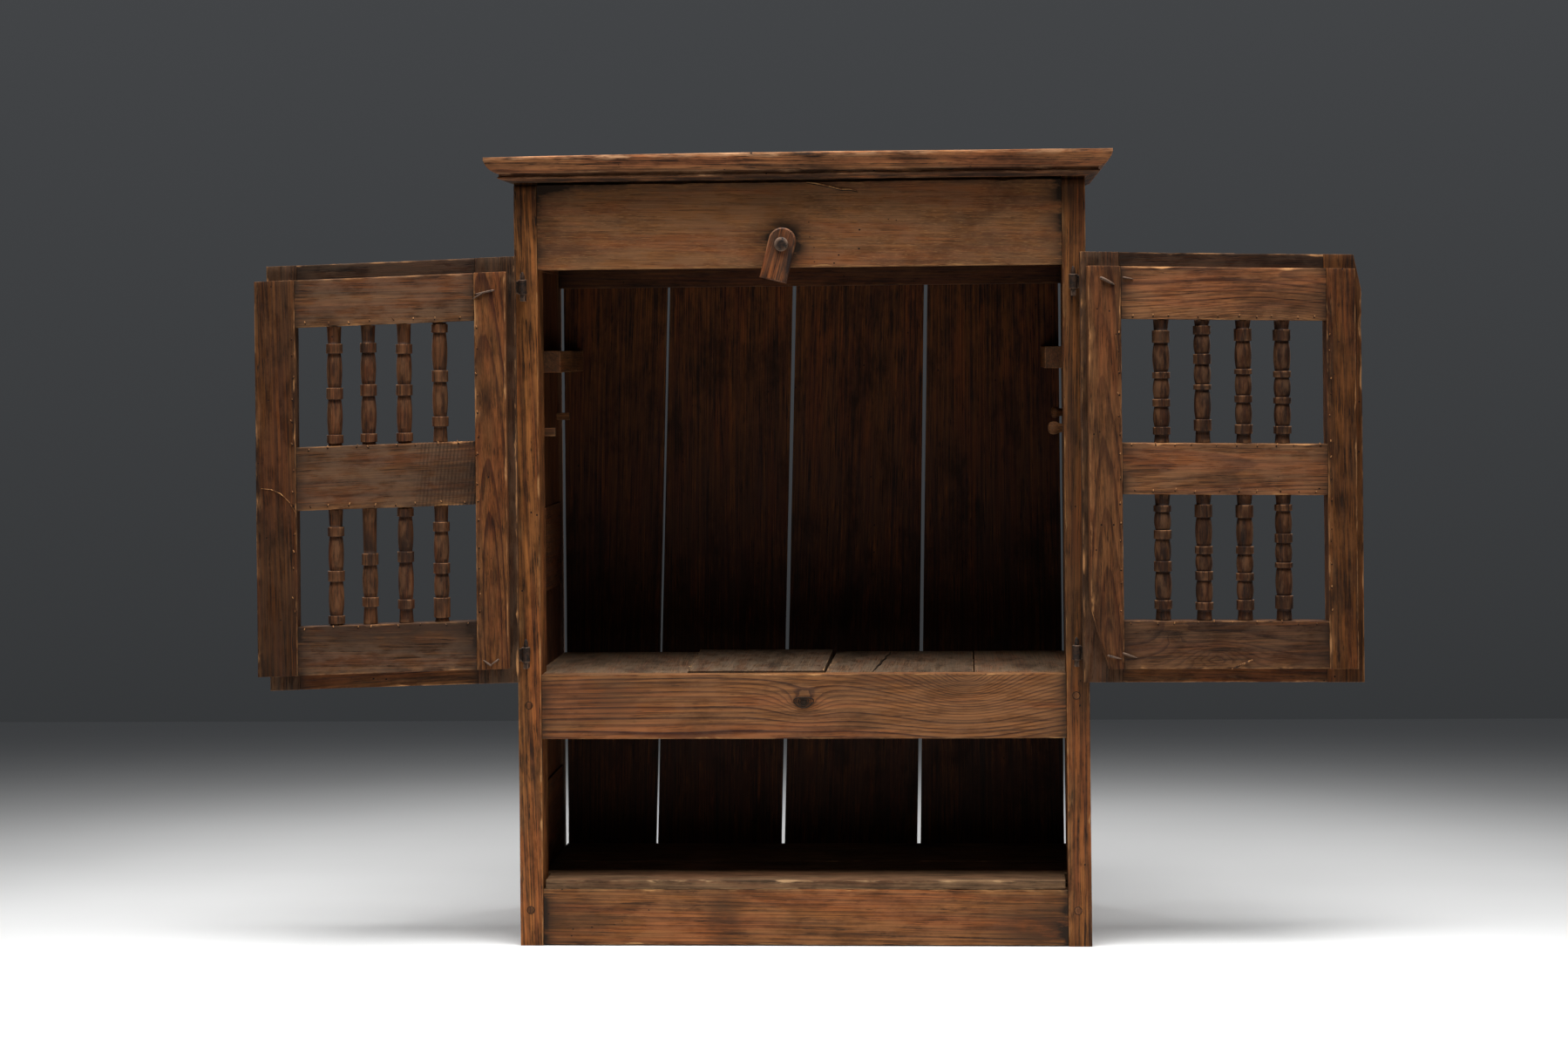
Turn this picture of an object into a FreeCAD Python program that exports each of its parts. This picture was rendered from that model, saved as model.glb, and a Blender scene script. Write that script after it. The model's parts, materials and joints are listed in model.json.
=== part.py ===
import FreeCAD, Part
import os
import Sketcher
from types import SimpleNamespace

# A rustic cupboard: four posts tenoned to rails, panelled sides, a plank back, a mitred cornice,
# and two rebated doors with turned spindles that stand open on iron pintles.
#
# Three frames are used. The whole part stands on the floor with its box centred on the origin.
# Case pieces are drawn from the middle of the posts' front faces at the floor, with x to the
# right, y into the case and z up. Door pieces are drawn closed, from their own pin's axis at
# the floor, and turned open by their placement.

SIZES = {
    # The case as a whole
    "case_width": 1008,
    "case_depth": 420,
    "frame_height": 1374,
    "floor_gap": 2,
    # Posts
    "post_face": 41,
    "front_post_depth": 75,
    "left_back_post_width": 28,
    "right_back_post_width": 32,
    "back_post_depth": 60,
    # Front rails
    "rail_thickness": 28,
    "rail_setback": 1,
    "bottom_rail_top": 100,
    "middle_rail_bottom": 365,
    "middle_rail_top": 479,
    "frieze_height": 179,
    "rail_tenon_length": 32,
    "tenon_thickness": 10,
    "tenon_shoulder": 12,
    "joint_play": 0.2,
    # Draw pegs through the front joints
    "peg_diameter": 12,
    "peg_length": 34,
    "peg_proud": 1,
    "left_peg_inset": 22,
    "right_peg_inset": 17,
    "bottom_peg_height": 63,
    "left_middle_peg_height": 425,
    "right_middle_peg_height": 440,
    # Side rails and panels
    "side_rail_thickness": 24,
    "side_rail_setback": 8,
    "side_bottom_rail_top": 272,
    "side_middle_rail_bottom": 614,
    "side_middle_rail_top": 767,
    "side_top_rail_height": 179,
    "side_tenon_length": 20,
    "side_panel_thickness": 12,
    "side_panel_recess": 4,
    "groove_depth": 8,
    # Back rails and planks
    "back_rail_thickness": 22,
    "back_top_rail_height": 204,
    "back_middle_rail_width": 68,
    "back_tenon_length": 18,
    "plank_thickness": 16,
    "plank_gap": 7,
    "plank_bottom": 20,
    "nail_diameter": 3.5,
    "nail_length": 30,
    "nail_head_diameter": 9,
    "nail_head_thickness": 1.6,
    # Top boards and cornice
    "top_board_thickness": 16,
    "board_gap": 2,
    "cornice_rise": 22,
    "cornice_height": 46,
    "cornice_overhang": 47,
    "cornice_fascia": 6,
    "ovolo_bottom": 30,
    "ovolo_foot": 26,
    "ovolo_bulge": 4,
    "quirk_depth": 20,
    "quirk_bottom": 35.5,
    "fillet_reach": 25,
    "fillet_bottom": 39,
    "cornice_foot": 3,
    "mitre_gap": 0.4,
    # Shelf, floor and the bearers below them
    "shelf_thickness": 16,
    "proud_board_rise": 4,
    "floor_thickness": 16,
    "floor_end_gap": 5,
    "bearer_width": 22,
    "bearer_height": 20,
    # Cleats and pegs for two shelves that have been taken out
    "cleat_drop": 118,
    "cleat_height": 39,
    "cleat_reach": 30,
    "shelf_peg_tenon": 10,
    "front_peg_place": 32,
    "back_peg_place": 20,
    "front_peg_height": 906,
    "back_peg_height": 929,
    "left_front_peg_width": 16,
    "left_front_peg_reach": 29,
    "left_back_peg_width": 14,
    "left_back_peg_reach": 24,
    "right_front_peg_width": 23,
    "right_front_peg_reach": 38,
    "right_back_peg_width": 22,
    "right_back_peg_reach": 26,
    # Both doors
    "door_thickness": 32,
    "lip_thickness": 14,
    "door_side_gap": 2,
    "meeting_gap": 3,
    "meeting_clearance": 0.5,
    "door_tenon_length": 26,
    "door_tenon_thickness": 9,
    "door_tenon_shoulder": 14,
    # Left door
    "left_pin_inset": 24,
    "left_open_angle": 180,
    "left_side_lip": 15,
    "left_end_lip": 26.5,
    "left_door_drop": 13.4,
    "left_end_gap": 2.8,
    "left_hinge_stile_width": 56,
    "left_meeting_stile_width": 72,
    "left_meeting_cutback": 18,
    "left_top_rail_width": 84,
    "left_middle_rail_width": 112,
    "left_bottom_rail_width": 86,
    # Right door
    "right_pin_inset": 18,
    "right_open_angle": 188,
    "right_side_lip": 10,
    "right_end_lip": 25,
    "right_door_drop": 8.4,
    "right_end_gap": 3.8,
    "right_hinge_stile_width": 58,
    "right_meeting_stile_width": 52,
    "right_meeting_lip": 15,
    "lip_chip_drop": 62,
    "right_top_rail_width": 92,
    "right_middle_rail_width": 90,
    "right_bottom_rail_width": 84,
    # Turned spindles, stouter in the right door
    "left_collar_radius": 14.6,
    "left_bead_radius": 13.7,
    "left_neck_radius": 11.4,
    "left_spindle_end_radius": 12.8,
    "right_collar_radius": 15.6,
    "right_bead_radius": 14.9,
    "right_neck_radius": 12.3,
    "right_spindle_end_radius": 13.6,
    "spindle_tenon_radius": 6,
    "spindle_tenon_length": 11,
    "spindle_play": 0.4,
    # Pintles and the strap eyes that turn on them
    "pin_reach": 16,
    "pin_diameter": 8,
    "pin_clearance": 0.08,
    "upper_hinge_drop": 30,
    "lower_hinge_rise": 38,
    "eye_diameter": 15,
    "eye_height": 26,
    "hinge_play": 0.3,
    "pin_tip_rise": 14,
    "pin_tip_length": 8,
    "pintle_block_width": 9,
    "pintle_block_height": 12,
    "spike_width": 8,
    "spike_length": 62,
    "strap_thickness": 3,
    "strap_width": 22,
    "strap_length": 58,
    "first_nail_place": 36,
    "second_nail_place": 50,
    "strap_nail_rise": 5,
    "clinch_length": 17,
    # Turn button and its bolt
    "button_left_offset": 28,
    "button_rise": 40,
    "button_tilt_angle": 14,
    "button_width": 48,
    "button_above": 30,
    "button_below": 65,
    "button_thickness": 16,
    "button_standoff": 18.5,
    "boss_diameter": 32,
    "button_play": 0.3,
    "bolt_diameter": 8,
    "bolt_clearance": 0.05,
    "bolt_head_diameter": 25,
    "bolt_head_thickness": 5,
    "nut_width": 18,
    "nut_thickness": 6,
    "bolt_end": 3,
    # How far a cut runs past the face that it opens
    "overrun": 5,
}

# Where the seams between the back planks lie, from left to right across the back
PLANK_TOP_SHARES = (0, 0.225, 0.477, 0.737, 1)
PLANK_BOTTOM_SHARES = (0, 0.181, 0.434, 0.706, 1)
# Where each plank is nailed, across its width
PLANK_NAIL_SHARES = (0.22, 0.78)
# Where the seams between the shelf boards lie, at the rail and at the back
SHELF_FRONT_SHARES = (0, 0.279, 0.541, 0.826, 1)
SHELF_BACK_SHARES = (0, 0.266, 0.541, 0.826, 1)
# The left door's part of the width that both doors fill
LEFT_DOOR_SHARE = 0.4853
# The upper window's part of the height that both windows fill
LEFT_UPPER_WINDOW_SHARE = 0.508
RIGHT_UPPER_WINDOW_SHARE = 0.495
# Where the four spindles stand across a window
SPINDLE_SHARES = (0.2, 0.4, 0.6, 0.79)
# Collars down each spindle, from the one nearest the hinge: the middle and the width of each
# collar, from the top of the spindle's length
COLLAR_SHARES = {
    "left_upper": (
        ((0.05, 0.07), (0.45, 0.095), (0.83, 0.08)),
        ((0.21, 0.08), (0.555, 0.09), (0.95, 0.07)),
        ((0.188, 0.08), (0.545, 0.095), (0.945, 0.07)),
        ((0.185, 0.08), (0.562, 0.095), (0.945, 0.07)),
    ),
    "left_lower": (
        ((0.18, 0.08), (0.54, 0.09), (0.88, 0.17)),
        ((0.045, 0.07), (0.43, 0.09), (0.84, 0.08)),
        ((0.44, 0.1), (0.81, 0.08)),
        ((0.19, 0.08), (0.576, 0.09), (0.955, 0.07)),
    ),
    "right_upper": (
        ((0.138, 0.1), (0.453, 0.05), (0.677, 0.06), (0.905, 0.06)),
        ((0.082, 0.07), (0.318, 0.08), (0.547, 0.04), (0.857, 0.09)),
        ((0.117, 0.1), (0.418, 0.04), (0.641, 0.055), (0.887, 0.075)),
        ((0.118, 0.09), (0.437, 0.05), (0.651, 0.05), (0.892, 0.06)),
    ),
    "right_lower": (
        ((0.111, 0.05), (0.318, 0.07), (0.572, 0.08), (0.877, 0.07)),
        ((0.128, 0.1), (0.441, 0.06), (0.646, 0.07), (0.889, 0.06)),
        ((0.131, 0.1), (0.441, 0.06), (0.654, 0.06), (0.879, 0.08)),
        ((0.1, 0.05), (0.345, 0.07), (0.56, 0.04), (0.857, 0.105)),
    ),
}

# Which edge of the cornice's outline is the rounded one
OVOLO_EDGE = 6

# How a cylinder that stands on its end is laid along each axis
TURNS = {
    "x": "rotation(vector(0; 1; 0); 90)",
    "y": "rotation(vector(1; 0; 0); -90)",
    "z": "rotation(vector(0; 0; 1); 0)",
}


class Length:
    """A sum of named sizes: its value, and the text that binds a dimension to the sheet."""

    def __init__(self, value, text):
        self.value = value
        self.text = text

    def __add__(self, other):
        other = as_length(other)
        return Length(self.value + other.value, f"({self.text} + {other.text})")

    def __sub__(self, other):
        other = as_length(other)
        return Length(self.value - other.value, f"({self.text} - {other.text})")

    def __mul__(self, other):
        other = as_length(other)
        return Length(self.value * other.value, f"({self.text} * {other.text})")

    def __truediv__(self, other):
        other = as_length(other)
        return Length(self.value / other.value, f"({self.text} / {other.text})")

    def __radd__(self, other):
        return as_length(other) + self

    def __rsub__(self, other):
        return as_length(other) - self

    def __rmul__(self, other):
        return as_length(other) * self

    def __neg__(self):
        return Length(-self.value, f"(-{self.text})")

    def __abs__(self):
        return Length(abs(self.value), f"abs({self.text})")


def as_length(number):
    return number if isinstance(number, Length) else Length(number, f"({number})")


def fill_sheet(sizes):
    sheet = document.addObject("Spreadsheet::Sheet", "Sizes")
    for row, (alias, value) in enumerate(sizes.items(), start=1):
        sheet.set(f"A{row}", alias)
        sheet.set(f"B{row}", str(value))
        sheet.setAlias(f"B{row}", alias)


def named_lengths(sizes, prefix=""):
    """The sizes whose names start with the prefix, each under the rest of its name."""
    return SimpleNamespace(
        **{
            alias[len(prefix):]: Length(value, f"Sizes.{alias}")
            for alias, value in sizes.items()
            if alias.startswith(prefix)
        }
    )


document = FreeCAD.newDocument("Cupboard")
fill_sheet(SIZES)
document.recompute()
size = named_lengths(SIZES)
doors = {side: named_lengths(SIZES, side + "_") for side in ("left", "right")}
sub_parts = []


def bind(feature, path, length):
    feature.setExpression(path, as_length(length).text)


def middle(span):
    return (span[0] + span[1]) / 2


def extent(span):
    return span[1] - span[0]


def centred(place, width):
    return (place - width / 2, place + width / 2)


def grown(span, margin):
    return (span[0] - margin, span[1] + margin)


def rectangle(across, up):
    return [(across[0], up[0]), (across[1], up[0]), (across[1], up[1]), (across[0], up[1])]


def point_of(corner):
    return FreeCAD.Vector(as_length(corner[0]).value, as_length(corner[1]).value, 0)


# Outlines, and the solids that are made from them


def new_body(name):
    return document.addObject("PartDesign::Body", name)


def new_sketch(body, name, plane, offset):
    """A sketch on one of the body's origin planes, moved along +x, +y or +z by the offset."""
    sketch = body.newObject("Sketcher::SketchObject", name + "_outline")
    support = next(feature for feature in body.Origin.OriginFeatures if feature.Role == plane)
    sketch.AttachmentSupport = [(support, "")]
    sketch.MapMode = "FlatFace"
    bind(sketch, "AttachmentOffset.Base.z", -offset if plane == "XZ_Plane" else offset)
    return sketch


def fix_point(sketch, edge, vertex, corner):
    for kind, distance in zip(("DistanceX", "DistanceY"), corner):
        distance = as_length(distance)
        constraint = Sketcher.Constraint(kind, -1, 1, edge, vertex, distance.value)
        number = sketch.addConstraint(constraint)
        sketch.setExpression(f"Constraints[{number}]", distance.text)


def add_arc(sketch, start, end, bulge):
    """An arc that stands off its chord by the bulge, to the right of its way if above zero."""
    first = point_of(start)
    last = point_of(end)
    way = last - first
    sideways = FreeCAD.Vector(way.y, -way.x, 0).normalize()
    edge = sketch.addGeometry(Part.Arc(first, (first + last) / 2 + sideways * bulge.value, last))
    across = end[0] - start[0]
    rise = end[1] - start[1]
    radius = abs(((across * across + rise * rise) / 4 + bulge * bulge) / (2 * bulge))
    number = sketch.addConstraint(Sketcher.Constraint("Radius", edge, radius.value))
    sketch.setExpression(f"Constraints[{number}]", radius.text)
    starts_first = sketch.getPoint(edge, 1).distanceToPoint(first) < way.Length / 2
    return edge, (1, 2) if starts_first else (2, 1)


def draw_outline(sketch, corners, bulges):
    """A closed outline through the corners, with an arc after each corner that has a bulge."""
    edges = []
    for number, start in enumerate(corners):
        end = corners[(number + 1) % len(corners)]
        if number in bulges:
            edges.append(add_arc(sketch, start, end, bulges[number]))
        else:
            line = sketch.addGeometry(Part.LineSegment(point_of(start), point_of(end)))
            edges.append((line, (1, 2)))
    for number, (edge, ends) in enumerate(edges):
        following, following_ends = edges[(number + 1) % len(edges)]
        sketch.addConstraint(
            Sketcher.Constraint("Coincident", edge, ends[1], following, following_ends[0])
        )
        fix_point(sketch, edge, ends[0], corners[number])


def draw_circles(sketch, centres, diameter):
    for centre in centres:
        circle = Part.Circle(point_of(centre), FreeCAD.Vector(0, 0, 1), diameter.value / 2)
        edge = sketch.addGeometry(circle)
        fix_point(sketch, edge, 3, centre)
        number = sketch.addConstraint(Sketcher.Constraint("Diameter", edge, diameter.value))
        sketch.setExpression(f"Constraints[{number}]", diameter.text)


def add_pad(body, name, sketch, thickness, cut):
    """Pad or pocket a sketch by half the thickness to each side."""
    feature = body.newObject("PartDesign::Pocket" if cut else "PartDesign::Pad", name)
    feature.Profile = (sketch, [""])
    feature.Midplane = True
    bind(feature, "Length", thickness)
    sketch.Visibility = False


def slab(body, name, corners, through, plane="XZ_Plane", cut=False, bulges=None):
    """An outline in a plane of the body, as thick as the span that it goes through."""
    sketch = new_sketch(body, name, plane, middle(through))
    draw_outline(sketch, corners, bulges or {})
    add_pad(body, name, sketch, extent(through), cut)


def block(body, name, x, y, z, cut=False):
    slab(body, name, rectangle(x, z), y, cut=cut)


def discs(body, name, centres, diameter, through, plane="XZ_Plane", cut=False):
    sketch = new_sketch(body, name, plane, middle(through))
    draw_circles(sketch, centres, diameter)
    add_pad(body, name, sketch, extent(through), cut)


def lathe(body, name, corners, bulges):
    """Turn an outline about the body's z axis."""
    sketch = new_sketch(body, name, "XZ_Plane", as_length(0))
    draw_outline(sketch, corners, bulges)
    feature = body.newObject("PartDesign::Revolution", name)
    feature.Profile = (sketch, [""])
    feature.ReferenceAxis = (sketch, ["V_Axis"])
    feature.Angle = 360


# Primitives for pegs, nails and irons


def place_at(feature, x, y, z, turn):
    texts = "; ".join(as_length(place).text for place in (x, y, z))
    feature.setExpression("Placement", f"placement(vector({texts}); {turn})")


def rod(name, start, axis, length, diameter):
    cylinder = document.addObject("Part::Cylinder", name)
    bind(cylinder, "Height", length)
    bind(cylinder, "Radius", diameter / 2)
    place_at(cylinder, *start, TURNS[axis])
    return cylinder


def bar(name, x, y, z):
    box = document.addObject("Part::Box", name)
    for path, span in (("Length", x), ("Width", y), ("Height", z)):
        bind(box, path, extent(span))
    place_at(box, x[0], y[0], z[0], TURNS["z"])
    return box


def joined(name, shapes):
    """Shapes that overlap become one solid, and those that lie apart stay apart."""
    union = document.addObject("Part::MultiFuse", name)
    union.Shapes = shapes
    return union


def group(name, members):
    compound = document.addObject("Part::Compound", name)
    compound.Links = members
    return compound


# The frames that finished sub-parts stand in


OUTER_FACE = size.strap_thickness / 2
DOOR_REACH = size.pin_reach + OUTER_FACE + size.door_thickness
FRONT_Y = (DOOR_REACH - size.case_depth) / 2
HALF_CASE = size.case_width / 2
HALF_OPENING = HALF_CASE - size.post_face
DOORS_WIDTH = 2 * HALF_OPENING - 2 * size.door_side_gap - size.meeting_gap
DOOR_WIDTHS = {
    "left": DOORS_WIDTH * LEFT_DOOR_SHARE,
    "right": DOORS_WIDTH * (1 - LEFT_DOOR_SHARE),
}
LEFT_REACH = HALF_OPENING + 2 * size.left_pin_inset + size.door_side_gap + DOOR_WIDTHS["left"]
RIGHT_REACH = (
    HALF_OPENING + 2 * size.right_pin_inset + size.door_side_gap + DOOR_WIDTHS["right"]
    + size.right_meeting_lip
)
MIDDLE_X = (LEFT_REACH - RIGHT_REACH) / 2


def finish_on_case(feature, label):
    place_at(feature, MIDDLE_X, FRONT_Y, as_length(0), TURNS["z"])
    feature.Label = label
    sub_parts.append(feature)


def pin_x(side):
    """Where a door's pin stands, from the middle of the case."""
    place = HALF_OPENING + doors[side].pin_inset
    return -place if side == "left" else place


def finish_on_door(feature, label, side):
    direction = -1 if side == "left" else 1
    angle = direction * doors[side].open_angle
    turn = f"rotation(vector(0; 0; 1); {angle.text})"
    place_at(feature, MIDDLE_X + pin_x(side), FRONT_Y - size.pin_reach, as_length(0), turn)
    feature.Label = label
    sub_parts.append(feature)


# Spans that several case pieces share

PLAY = size.joint_play
OVERRUN = size.overrun
RAIL_Y = (size.rail_setback, size.rail_setback + size.rail_thickness)
RAIL_TENON_Y = centred(middle(RAIL_Y), size.tenon_thickness)
FRIEZE_BOTTOM = size.frame_height - size.frieze_height
FRONT_RAIL_HEIGHTS = {
    "frieze_rail": (FRIEZE_BOTTOM, size.frame_height),
    "middle_rail": (size.middle_rail_bottom, size.middle_rail_top),
    "bottom_rail": (size.floor_gap, size.bottom_rail_top),
}
SIDE_TOP_RAIL_BOTTOM = size.frame_height - size.side_top_rail_height
SIDE_RAIL_HEIGHTS = {
    "top_rail": (SIDE_TOP_RAIL_BOTTOM, size.frame_height),
    "middle_rail": (size.side_middle_rail_bottom, size.side_middle_rail_top),
    "bottom_rail": (size.floor_gap, size.side_bottom_rail_top),
}
SIDE_PANEL_HEIGHTS = {
    "upper_panel": (size.side_middle_rail_top, SIDE_TOP_RAIL_BOTTOM),
    "lower_panel": (size.side_bottom_rail_top, size.side_middle_rail_bottom),
}
BACK_POST_FRONT = size.case_depth - size.back_post_depth
BACK_POST_EDGES = {side: HALF_CASE - doors[side].back_post_width for side in doors}
BACK_X = (-BACK_POST_EDGES["left"], BACK_POST_EDGES["right"])
SIDE_RAIL_X = (
    HALF_CASE - size.side_rail_setback - size.side_rail_thickness,
    HALF_CASE - size.side_rail_setback,
)
SIDE_TENON_X = centred(middle(SIDE_RAIL_X), size.tenon_thickness)
SIDE_PANEL_X = (
    SIDE_RAIL_X[0] + size.side_panel_recess,
    SIDE_RAIL_X[0] + size.side_panel_recess + size.side_panel_thickness,
)
PLANK_FRONT = size.case_depth - size.plank_thickness
BACK_RAIL_Y = (PLANK_FRONT - size.back_rail_thickness, PLANK_FRONT)
BACK_TENON_Y = centred(middle(BACK_RAIL_Y), size.tenon_thickness)
SHELF_BOTTOM = size.middle_rail_top - size.shelf_thickness
BACK_TOP_RAIL_BOTTOM = size.frame_height - size.back_top_rail_height
BACK_RAIL_HEIGHTS = {
    "back_top_rail": (BACK_TOP_RAIL_BOTTOM, size.frame_height),
    "back_middle_rail": (SHELF_BOTTOM - size.back_middle_rail_width, SHELF_BOTTOM),
    "back_bottom_rail": (size.floor_gap, size.bottom_rail_top),
}
HINGE_HEIGHTS = {
    "upper": FRIEZE_BOTTOM - size.upper_hinge_drop,
    "lower": size.middle_rail_top + size.lower_hinge_rise,
}
BUTTON_HEIGHT = FRIEZE_BOTTOM + size.button_rise
SIDES = {"left": -1, "right": 1}


def toward(direction, span):
    """A span that is measured outward, laid to the left or to the right of the middle."""
    return (direction * span[0], direction * span[1])


def shouldered(heights):
    return grown(heights, -size.tenon_shoulder)


def peg_places(side):
    """Where the draw pegs go through a front post, by rail."""
    x = SIDES[side] * (HALF_OPENING + doors[side].peg_inset)
    return {
        "middle_rail": (x, doors[side].middle_peg_height),
        "bottom_rail": (x, size.bottom_peg_height),
    }


# Front frame


def front_post(side):
    direction = SIDES[side]
    post = new_body("front_post_" + side)
    post_x = toward(direction, (HALF_OPENING, HALF_CASE))
    block(post, "whole", post_x, (as_length(0), size.front_post_depth), (0, size.frame_height))
    mortise_x = (HALF_OPENING - OVERRUN, HALF_OPENING + size.rail_tenon_length + PLAY)
    for rail, heights in FRONT_RAIL_HEIGHTS.items():
        mortise_z = grown(shouldered(heights), PLAY)
        block(post, rail + "_mortise", toward(direction, mortise_x), grown(RAIL_TENON_Y, PLAY),
              mortise_z, cut=True)
    side_mortises(post, direction, size.front_post_depth, -1)
    hole = size.peg_diameter + 2 * PLAY
    discs(post, "peg_holes", list(peg_places(side).values()), hole,
          (-OVERRUN, size.peg_length + PLAY), cut=True)
    for height in HINGE_HEIGHTS.values():
        spike_x = centred(pin_x(side), size.spike_width)
        block(post, "spike_hole", grown(spike_x, PLAY), (-OVERRUN, size.spike_length + PLAY),
              grown(centred(pintle_block_middle(height), size.spike_width), PLAY), cut=True)
    finish_on_case(post, "front_post_" + side)


def side_mortises(post, direction, face, inward):
    """Mortises for the side rails and grooves for the side panels, in a post's face."""
    near = face - inward * OVERRUN
    for rail, heights in SIDE_RAIL_HEIGHTS.items():
        far = face + inward * (size.side_tenon_length + PLAY)
        block(post, "side_" + rail + "_mortise", toward(direction, grown(SIDE_TENON_X, PLAY)),
              ordered(near, far, inward), grown(shouldered(heights), PLAY), cut=True)
    for panel, heights in SIDE_PANEL_HEIGHTS.items():
        far = face + inward * (size.groove_depth + PLAY)
        block(post, panel + "_groove", toward(direction, grown(SIDE_PANEL_X, PLAY)),
              ordered(near, far, inward), grown(heights, size.groove_depth + PLAY), cut=True)


def ordered(near, far, inward):
    return (near, far) if inward > 0 else (far, near)


def front_rail(rail, heights):
    body = new_body(rail)
    block(body, "whole", (-HALF_OPENING, HALF_OPENING), RAIL_Y, heights)
    tenon_x = (-HALF_OPENING - size.rail_tenon_length, HALF_OPENING + size.rail_tenon_length)
    block(body, "tenons", tenon_x, RAIL_TENON_Y, shouldered(heights))
    holes = [peg_places(side)[rail] for side in SIDES if rail in peg_places(side)]
    if holes:
        discs(body, "peg_holes", holes, size.peg_diameter + 2 * PLAY, grown(RAIL_Y, OVERRUN),
              cut=True)
    if rail == "frieze_rail":
        discs(body, "bolt_hole", [(-size.button_left_offset, BUTTON_HEIGHT)],
              size.bolt_diameter + 2 * PLAY, grown(RAIL_Y, OVERRUN), cut=True)
    finish_on_case(body, rail)


def frame_pegs():
    pegs = []
    for side in SIDES:
        for rail, (x, z) in peg_places(side).items():
            start = (x, -size.peg_proud, z)
            pegs.append(rod(f"{side}_{rail}_peg", start, "y", size.peg_length + size.peg_proud,
                            size.peg_diameter))
    finish_on_case(group("frame_peg_group", pegs), "frame_pegs")


# Sides


def side_rail(side, rail, heights):
    direction = SIDES[side]
    body = new_body(f"side_{rail}_{side}")
    rail_y = (size.front_post_depth, BACK_POST_FRONT)
    block(body, "whole", toward(direction, SIDE_RAIL_X), rail_y, heights)
    block(body, "tenons", toward(direction, SIDE_TENON_X), grown(rail_y, size.side_tenon_length),
          shouldered(heights))
    groove_x = toward(direction, grown(SIDE_PANEL_X, PLAY))
    depth = size.groove_depth + PLAY
    if rail != "top_rail":
        block(body, "upper_groove", groove_x, rail_y, (heights[1] - depth, heights[1] + OVERRUN),
              cut=True)
    if rail != "bottom_rail":
        block(body, "lower_groove", groove_x, rail_y, (heights[0] - OVERRUN, heights[0] + depth),
              cut=True)
    finish_on_case(body, f"side_{rail}_{side}")


def side_panel(side, panel, heights):
    body = new_body(f"side_{panel}_{side}")
    panel_y = grown((size.front_post_depth, BACK_POST_FRONT), size.groove_depth)
    panel_x = toward(SIDES[side], SIDE_PANEL_X)
    block(body, "whole", panel_x, panel_y, grown(heights, size.groove_depth))
    if panel == "upper_panel":
        holes = [(place["y"], place["z"]) for place in shelf_peg_places(side)]
        discs(body, "peg_holes", holes, size.shelf_peg_tenon + 2 * PLAY,
              ordered_x(SIDES[side], grown(SIDE_PANEL_X, OVERRUN)), plane="YZ_Plane", cut=True)
    finish_on_case(body, f"side_{panel}_{side}")


def ordered_x(direction, span):
    """An outward span on the left or the right, with its lower end first."""
    return span if direction > 0 else (-span[1], -span[0])


# Back


def back_post(side):
    direction = SIDES[side]
    edge = BACK_POST_EDGES[side]
    post = new_body("back_post_" + side)
    block(post, "whole", toward(direction, (edge, HALF_CASE)),
          (BACK_POST_FRONT, size.case_depth), (0, size.frame_height))
    side_mortises(post, direction, BACK_POST_FRONT, 1)
    mortise_x = (edge - OVERRUN, edge + size.back_tenon_length + PLAY)
    for rail, heights in BACK_RAIL_HEIGHTS.items():
        block(post, rail + "_mortise", toward(direction, mortise_x), grown(BACK_TENON_Y, PLAY),
              grown(shouldered(heights), PLAY), cut=True)
    finish_on_case(post, "back_post_" + side)


def plank_edges(number, z):
    """The left and right edge of a back plank at a height."""
    up = (z - size.plank_bottom) / (size.frame_height - size.plank_bottom)
    edges = []
    for seam, side in ((number, 1), (number + 1, -1)):
        share = PLANK_BOTTOM_SHARES[seam] + up * (PLANK_TOP_SHARES[seam] - PLANK_BOTTOM_SHARES[seam])
        at_post = seam in (0, len(PLANK_TOP_SHARES) - 1)
        gap = size.plank_gap if at_post else size.plank_gap / 2
        edges.append(BACK_X[0] + share * (BACK_X[1] - BACK_X[0]) + side * gap)
    return edges


def plank_nails(number):
    """The nails of a back plank, by the rail that they go into."""
    places = {}
    for rail, heights in BACK_RAIL_HEIGHTS.items():
        z = middle(heights)
        left, right = plank_edges(number, z)
        places[rail] = [(left + share * (right - left), z) for share in PLANK_NAIL_SHARES]
    return places


def back_rail(rail, heights):
    body = new_body(rail)
    block(body, "whole", BACK_X, BACK_RAIL_Y, heights)
    tenon_x = grown(BACK_X, size.back_tenon_length)
    block(body, "tenons", tenon_x, BACK_TENON_Y, shouldered(heights))
    holes = [place for number in range(len(PLANK_TOP_SHARES) - 1)
             for place in plank_nails(number)[rail]]
    discs(body, "nail_holes", holes, size.nail_diameter + 2 * PLAY,
          grown(BACK_RAIL_Y, OVERRUN), cut=True)
    finish_on_case(body, rail)


def back_plank(number):
    name = f"back_plank_{number + 1}"
    body = new_body(name)
    low_left, low_right = plank_edges(number, size.plank_bottom)
    top_left, top_right = plank_edges(number, size.frame_height)
    corners = [
        (low_left, size.plank_bottom),
        (low_right, size.plank_bottom),
        (top_right, size.frame_height),
        (top_left, size.frame_height),
    ]
    plank_y = (PLANK_FRONT, size.case_depth)
    slab(body, "whole", corners, plank_y)
    holes = [place for places in plank_nails(number).values() for place in places]
    discs(body, "nail_holes", holes, size.nail_diameter + 2 * PLAY, grown(plank_y, OVERRUN),
          cut=True)
    finish_on_case(body, name)


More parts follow.
